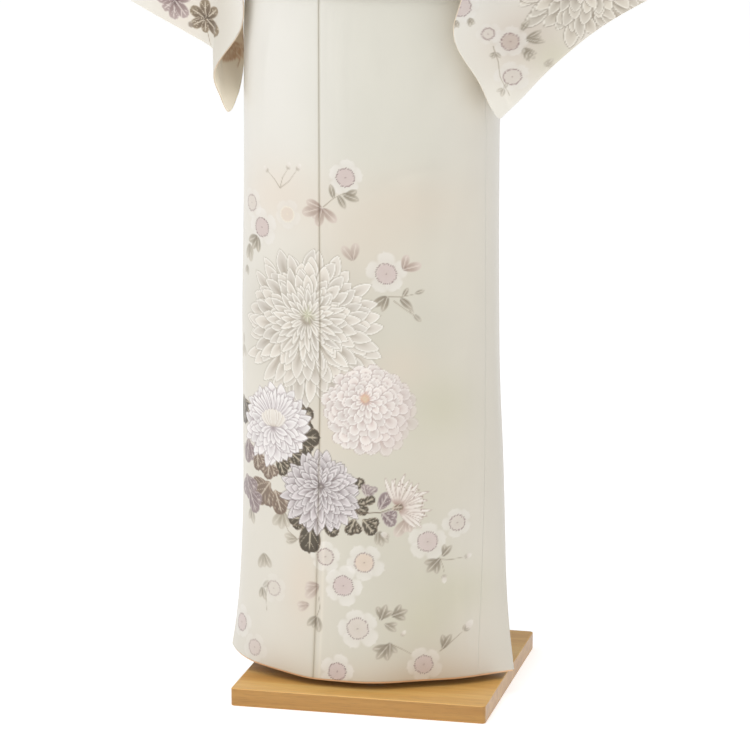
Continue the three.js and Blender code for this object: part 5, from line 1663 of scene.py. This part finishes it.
def make_bar(name, start, end, radius, steel_look, node_name):
    """A round steel bar with eased ends."""
    start, end = np.asarray(start, float), np.asarray(end, float)
    length = np.linalg.norm(end - start)
    way = (end - start) / length
    side = np.cross(way, [0, 1, 0.0])
    side = side / np.linalg.norm(side)
    angle = 2 * math.pi * np.arange(BAR_SIDES)[:, None] / BAR_SIDES
    ring = np.cos(angle) * side + np.sin(angle) * np.cross(way, side)
    rings = [start + way * at + (radius - less) * ring for at, less in BAR_END]
    rings += [start + way * (length - at) + (radius - less) * ring for at, less in BAR_END[::-1]]
    piece(ring_solid(name, rings, [start, end]), (steel_look,), "steel", node_name)


def make_rods(steel_look):
    for name, side in (("left", 1), ("right", -1)):
        low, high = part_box("sleeve_rod_" + name)
        near, far = sorted((abs(low.x - AXIS.x), abs(high.x - AXIS.x)))
        near, far = near / MM + 6, far / MM - 4.5
        ends = [(side * x, RIDGE_Y, ROD_Z + (x - SHOULDER_X) * ROD_RISE) for x in (near, far)]
        make_bar("sleeve_rod_" + name + "_steel", *ends, ROD_RADIUS, steel_look, "sleeve_rod_" + name)


def make_pole(steel_look):
    ends = [(POLE_X, POLE_Y, z) for z in (pole_low.z / MM + 0.2, pole_high.z / MM - 2)]
    make_bar("pole_steel", *ends, POLE_RADIUS, steel_look, "form_pole")


def make_board(looks):
    """The board, with rounded corners and eased edges."""
    low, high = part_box("base_board")
    middle, half = (low + high) / 2 - AXIS, (high - low) / 2
    x0, y0, bottom, top = middle.x / MM, middle.y / MM, low.z / MM, high.z / MM
    half_x, half_y = half.x / MM - BOARD_CORNER, half.y / MM - BOARD_CORNER
    levels = [(bottom + up, inset) for up, inset in BOARD_EDGE]
    levels += [(top - down, inset) for down, inset in BOARD_EDGE[::-1]]
    rings = []
    for z, inset in levels:
        radius = BOARD_CORNER - inset * BOARD_BEVEL
        outline = []
        for sx, sy, start in ((1, -1, -90), (1, 1, 0), (-1, 1, 90), (-1, -1, 180)):
            for k in range(CORNER_STEPS + 1):
                turn = math.radians(start + k * 90 / CORNER_STEPS)
                x, y = sx * half_x + radius * math.cos(turn), sy * half_y + radius * math.sin(turn)
                outline.append((x0 + x, y0 + y, z))
        rings.append(outline)
    made = ring_solid("board_beech", rings, [(x0, y0, bottom), (x0, y0, top)], smooth=False)
    piece(made, looks, "beech", "base_board")
    # Top faces take the lighter copy of the beech, painted light, and the sides the darker one, painted
    # shade.
    for face in made.data.polygons:
        face.material_index = 1 if face.normal.z > 0.5 else 0


# ---------------------------------------------------------------- stage


def make_stage():
    """A pale seamless floor and backdrop."""
    bpy.ops.mesh.primitive_plane_add(size=60, location=(0, 0, 0))
    floor = bpy.context.object
    floor.name = "studio_floor"
    white = (1, 1, 1, 1)
    pale = Material("studio_floor", Base_Color=(0.9, 0.9, 0.9, 1), Roughness=0.9, Emission_Color=white,
                    Emission_Strength=0.59)
    floor.data.materials.append(pale.material)
    scene.world = bpy.data.worlds.new("studio")
    scene.world.use_nodes = True
    background = scene.world.node_tree.nodes["Background"]
    background.inputs["Color"].default_value = white
    background.inputs["Strength"].default_value = 0.46


def area_light(name, place, target, size, power):
    data = bpy.data.lights.new(name, "AREA")
    data.size, data.energy = size, power
    made = bpy.data.objects.new(name, data)
    scene.collection.objects.link(made)
    made.location = place
    made.rotation_euler = (Vector(target) - Vector(place)).to_track_quat("-Z", "Y").to_euler()


CAMERA_FROM_BOARD = (1031.5, -4520.5)       # mm from the board's middle
CAMERA_HEIGHT = 1482.2
CAMERA_TURN, CAMERA_DOWN, CAMERA_LENS = 13.04, 12.81, 168


def make_camera():
    low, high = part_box("base_board")
    data = bpy.data.cameras.new("photo_camera")
    data.lens, data.sensor_width = CAMERA_LENS, 36
    data.clip_start, data.clip_end = 0.1, 200
    camera = bpy.data.objects.new("photo_camera", data)
    scene.collection.objects.link(camera)
    camera.location = (
        (low.x + high.x) / 2 + CAMERA_FROM_BOARD[0] * MM,
        (low.y + high.y) / 2 + CAMERA_FROM_BOARD[1] * MM,
        CAMERA_HEIGHT * MM,
    )
    camera.rotation_euler = (math.radians(90 - CAMERA_DOWN), 0, math.radians(CAMERA_TURN))
    scene.camera = camera


# ---------------------------------------------------------------- the whole scene

scene = bpy.context.scene
scene.view_settings.view_transform = "Standard"
painted_lining = silk_material("painted_lining_silk", roughness=0.5)
hem_look = silk_material("hem_facing_silk", plain=(244, 200, 156), roughness=0.5)
sash_look = silk_material("sash_cloth", plain=(214, 205, 188), roughness=0.6, sheen=0.3, weave=700.0)
cover_look = plain_material("form_cover", (206, 198, 184), 0.8)
steel_look = plain_material("brushed_steel", (176, 178, 180), 0.3, metallic=1.0, grain=500.0, strength=0.04)
# One beech in two copies: the sides painted darker as painted shade, the top lighter as painted light.
lit_and_shaded_wood_looks = (
    wood_material("beech_sides", (164, 114, 48), (184, 134, 62), (197, 151, 78)),
    wood_material("beech_top_painted_light", (228, 170, 90), (245, 193, 110), (252, 209, 130)),
)
silk_looks = (
    silk_material("painted_silk"),
    silk_material("lining_silk", plain=LINING_COLOUR, roughness=0.5),
)

make_left_overlap(silk_looks)
make_overlap_top("left", 0, 1, no_drop, silk_looks)
make_left_front(silk_looks)
make_left_back(silk_looks)
make_right_body(silk_looks)
make_right_overlap(silk_looks)
make_overlap_top("right", OKUMI_SEAM_RIGHT, -1, underlap, silk_looks)
make_collar(silk_looks)
make_sash(sash_look)
make_hem_lining(hem_look)
make_sleeve("left", 1, silk_looks, painted_lining, paint_left_sleeve)
make_sleeve("right", -1, silk_looks, painted_lining, paint_right_sleeve)
make_form(cover_look)
make_pole(steel_look)
make_rods(steel_look)
make_board(lit_and_shaded_wood_looks)
make_stage()
make_camera()
area_light("key", (-3.2, -2.6, 2.2), (0, 0, 0.6), 1.8, 14)
area_light("front", (0.7, -4.2, 1.5), (0, 0, 0.5), 2.4, 12)
area_light("side", (3.2, -2.0, 1.6), (0, 0, 0.6), 2.2, 4)
area_light("top", (-0.8, -1.4, 4.0), (0, 0, 0.1), 2.4, 44)
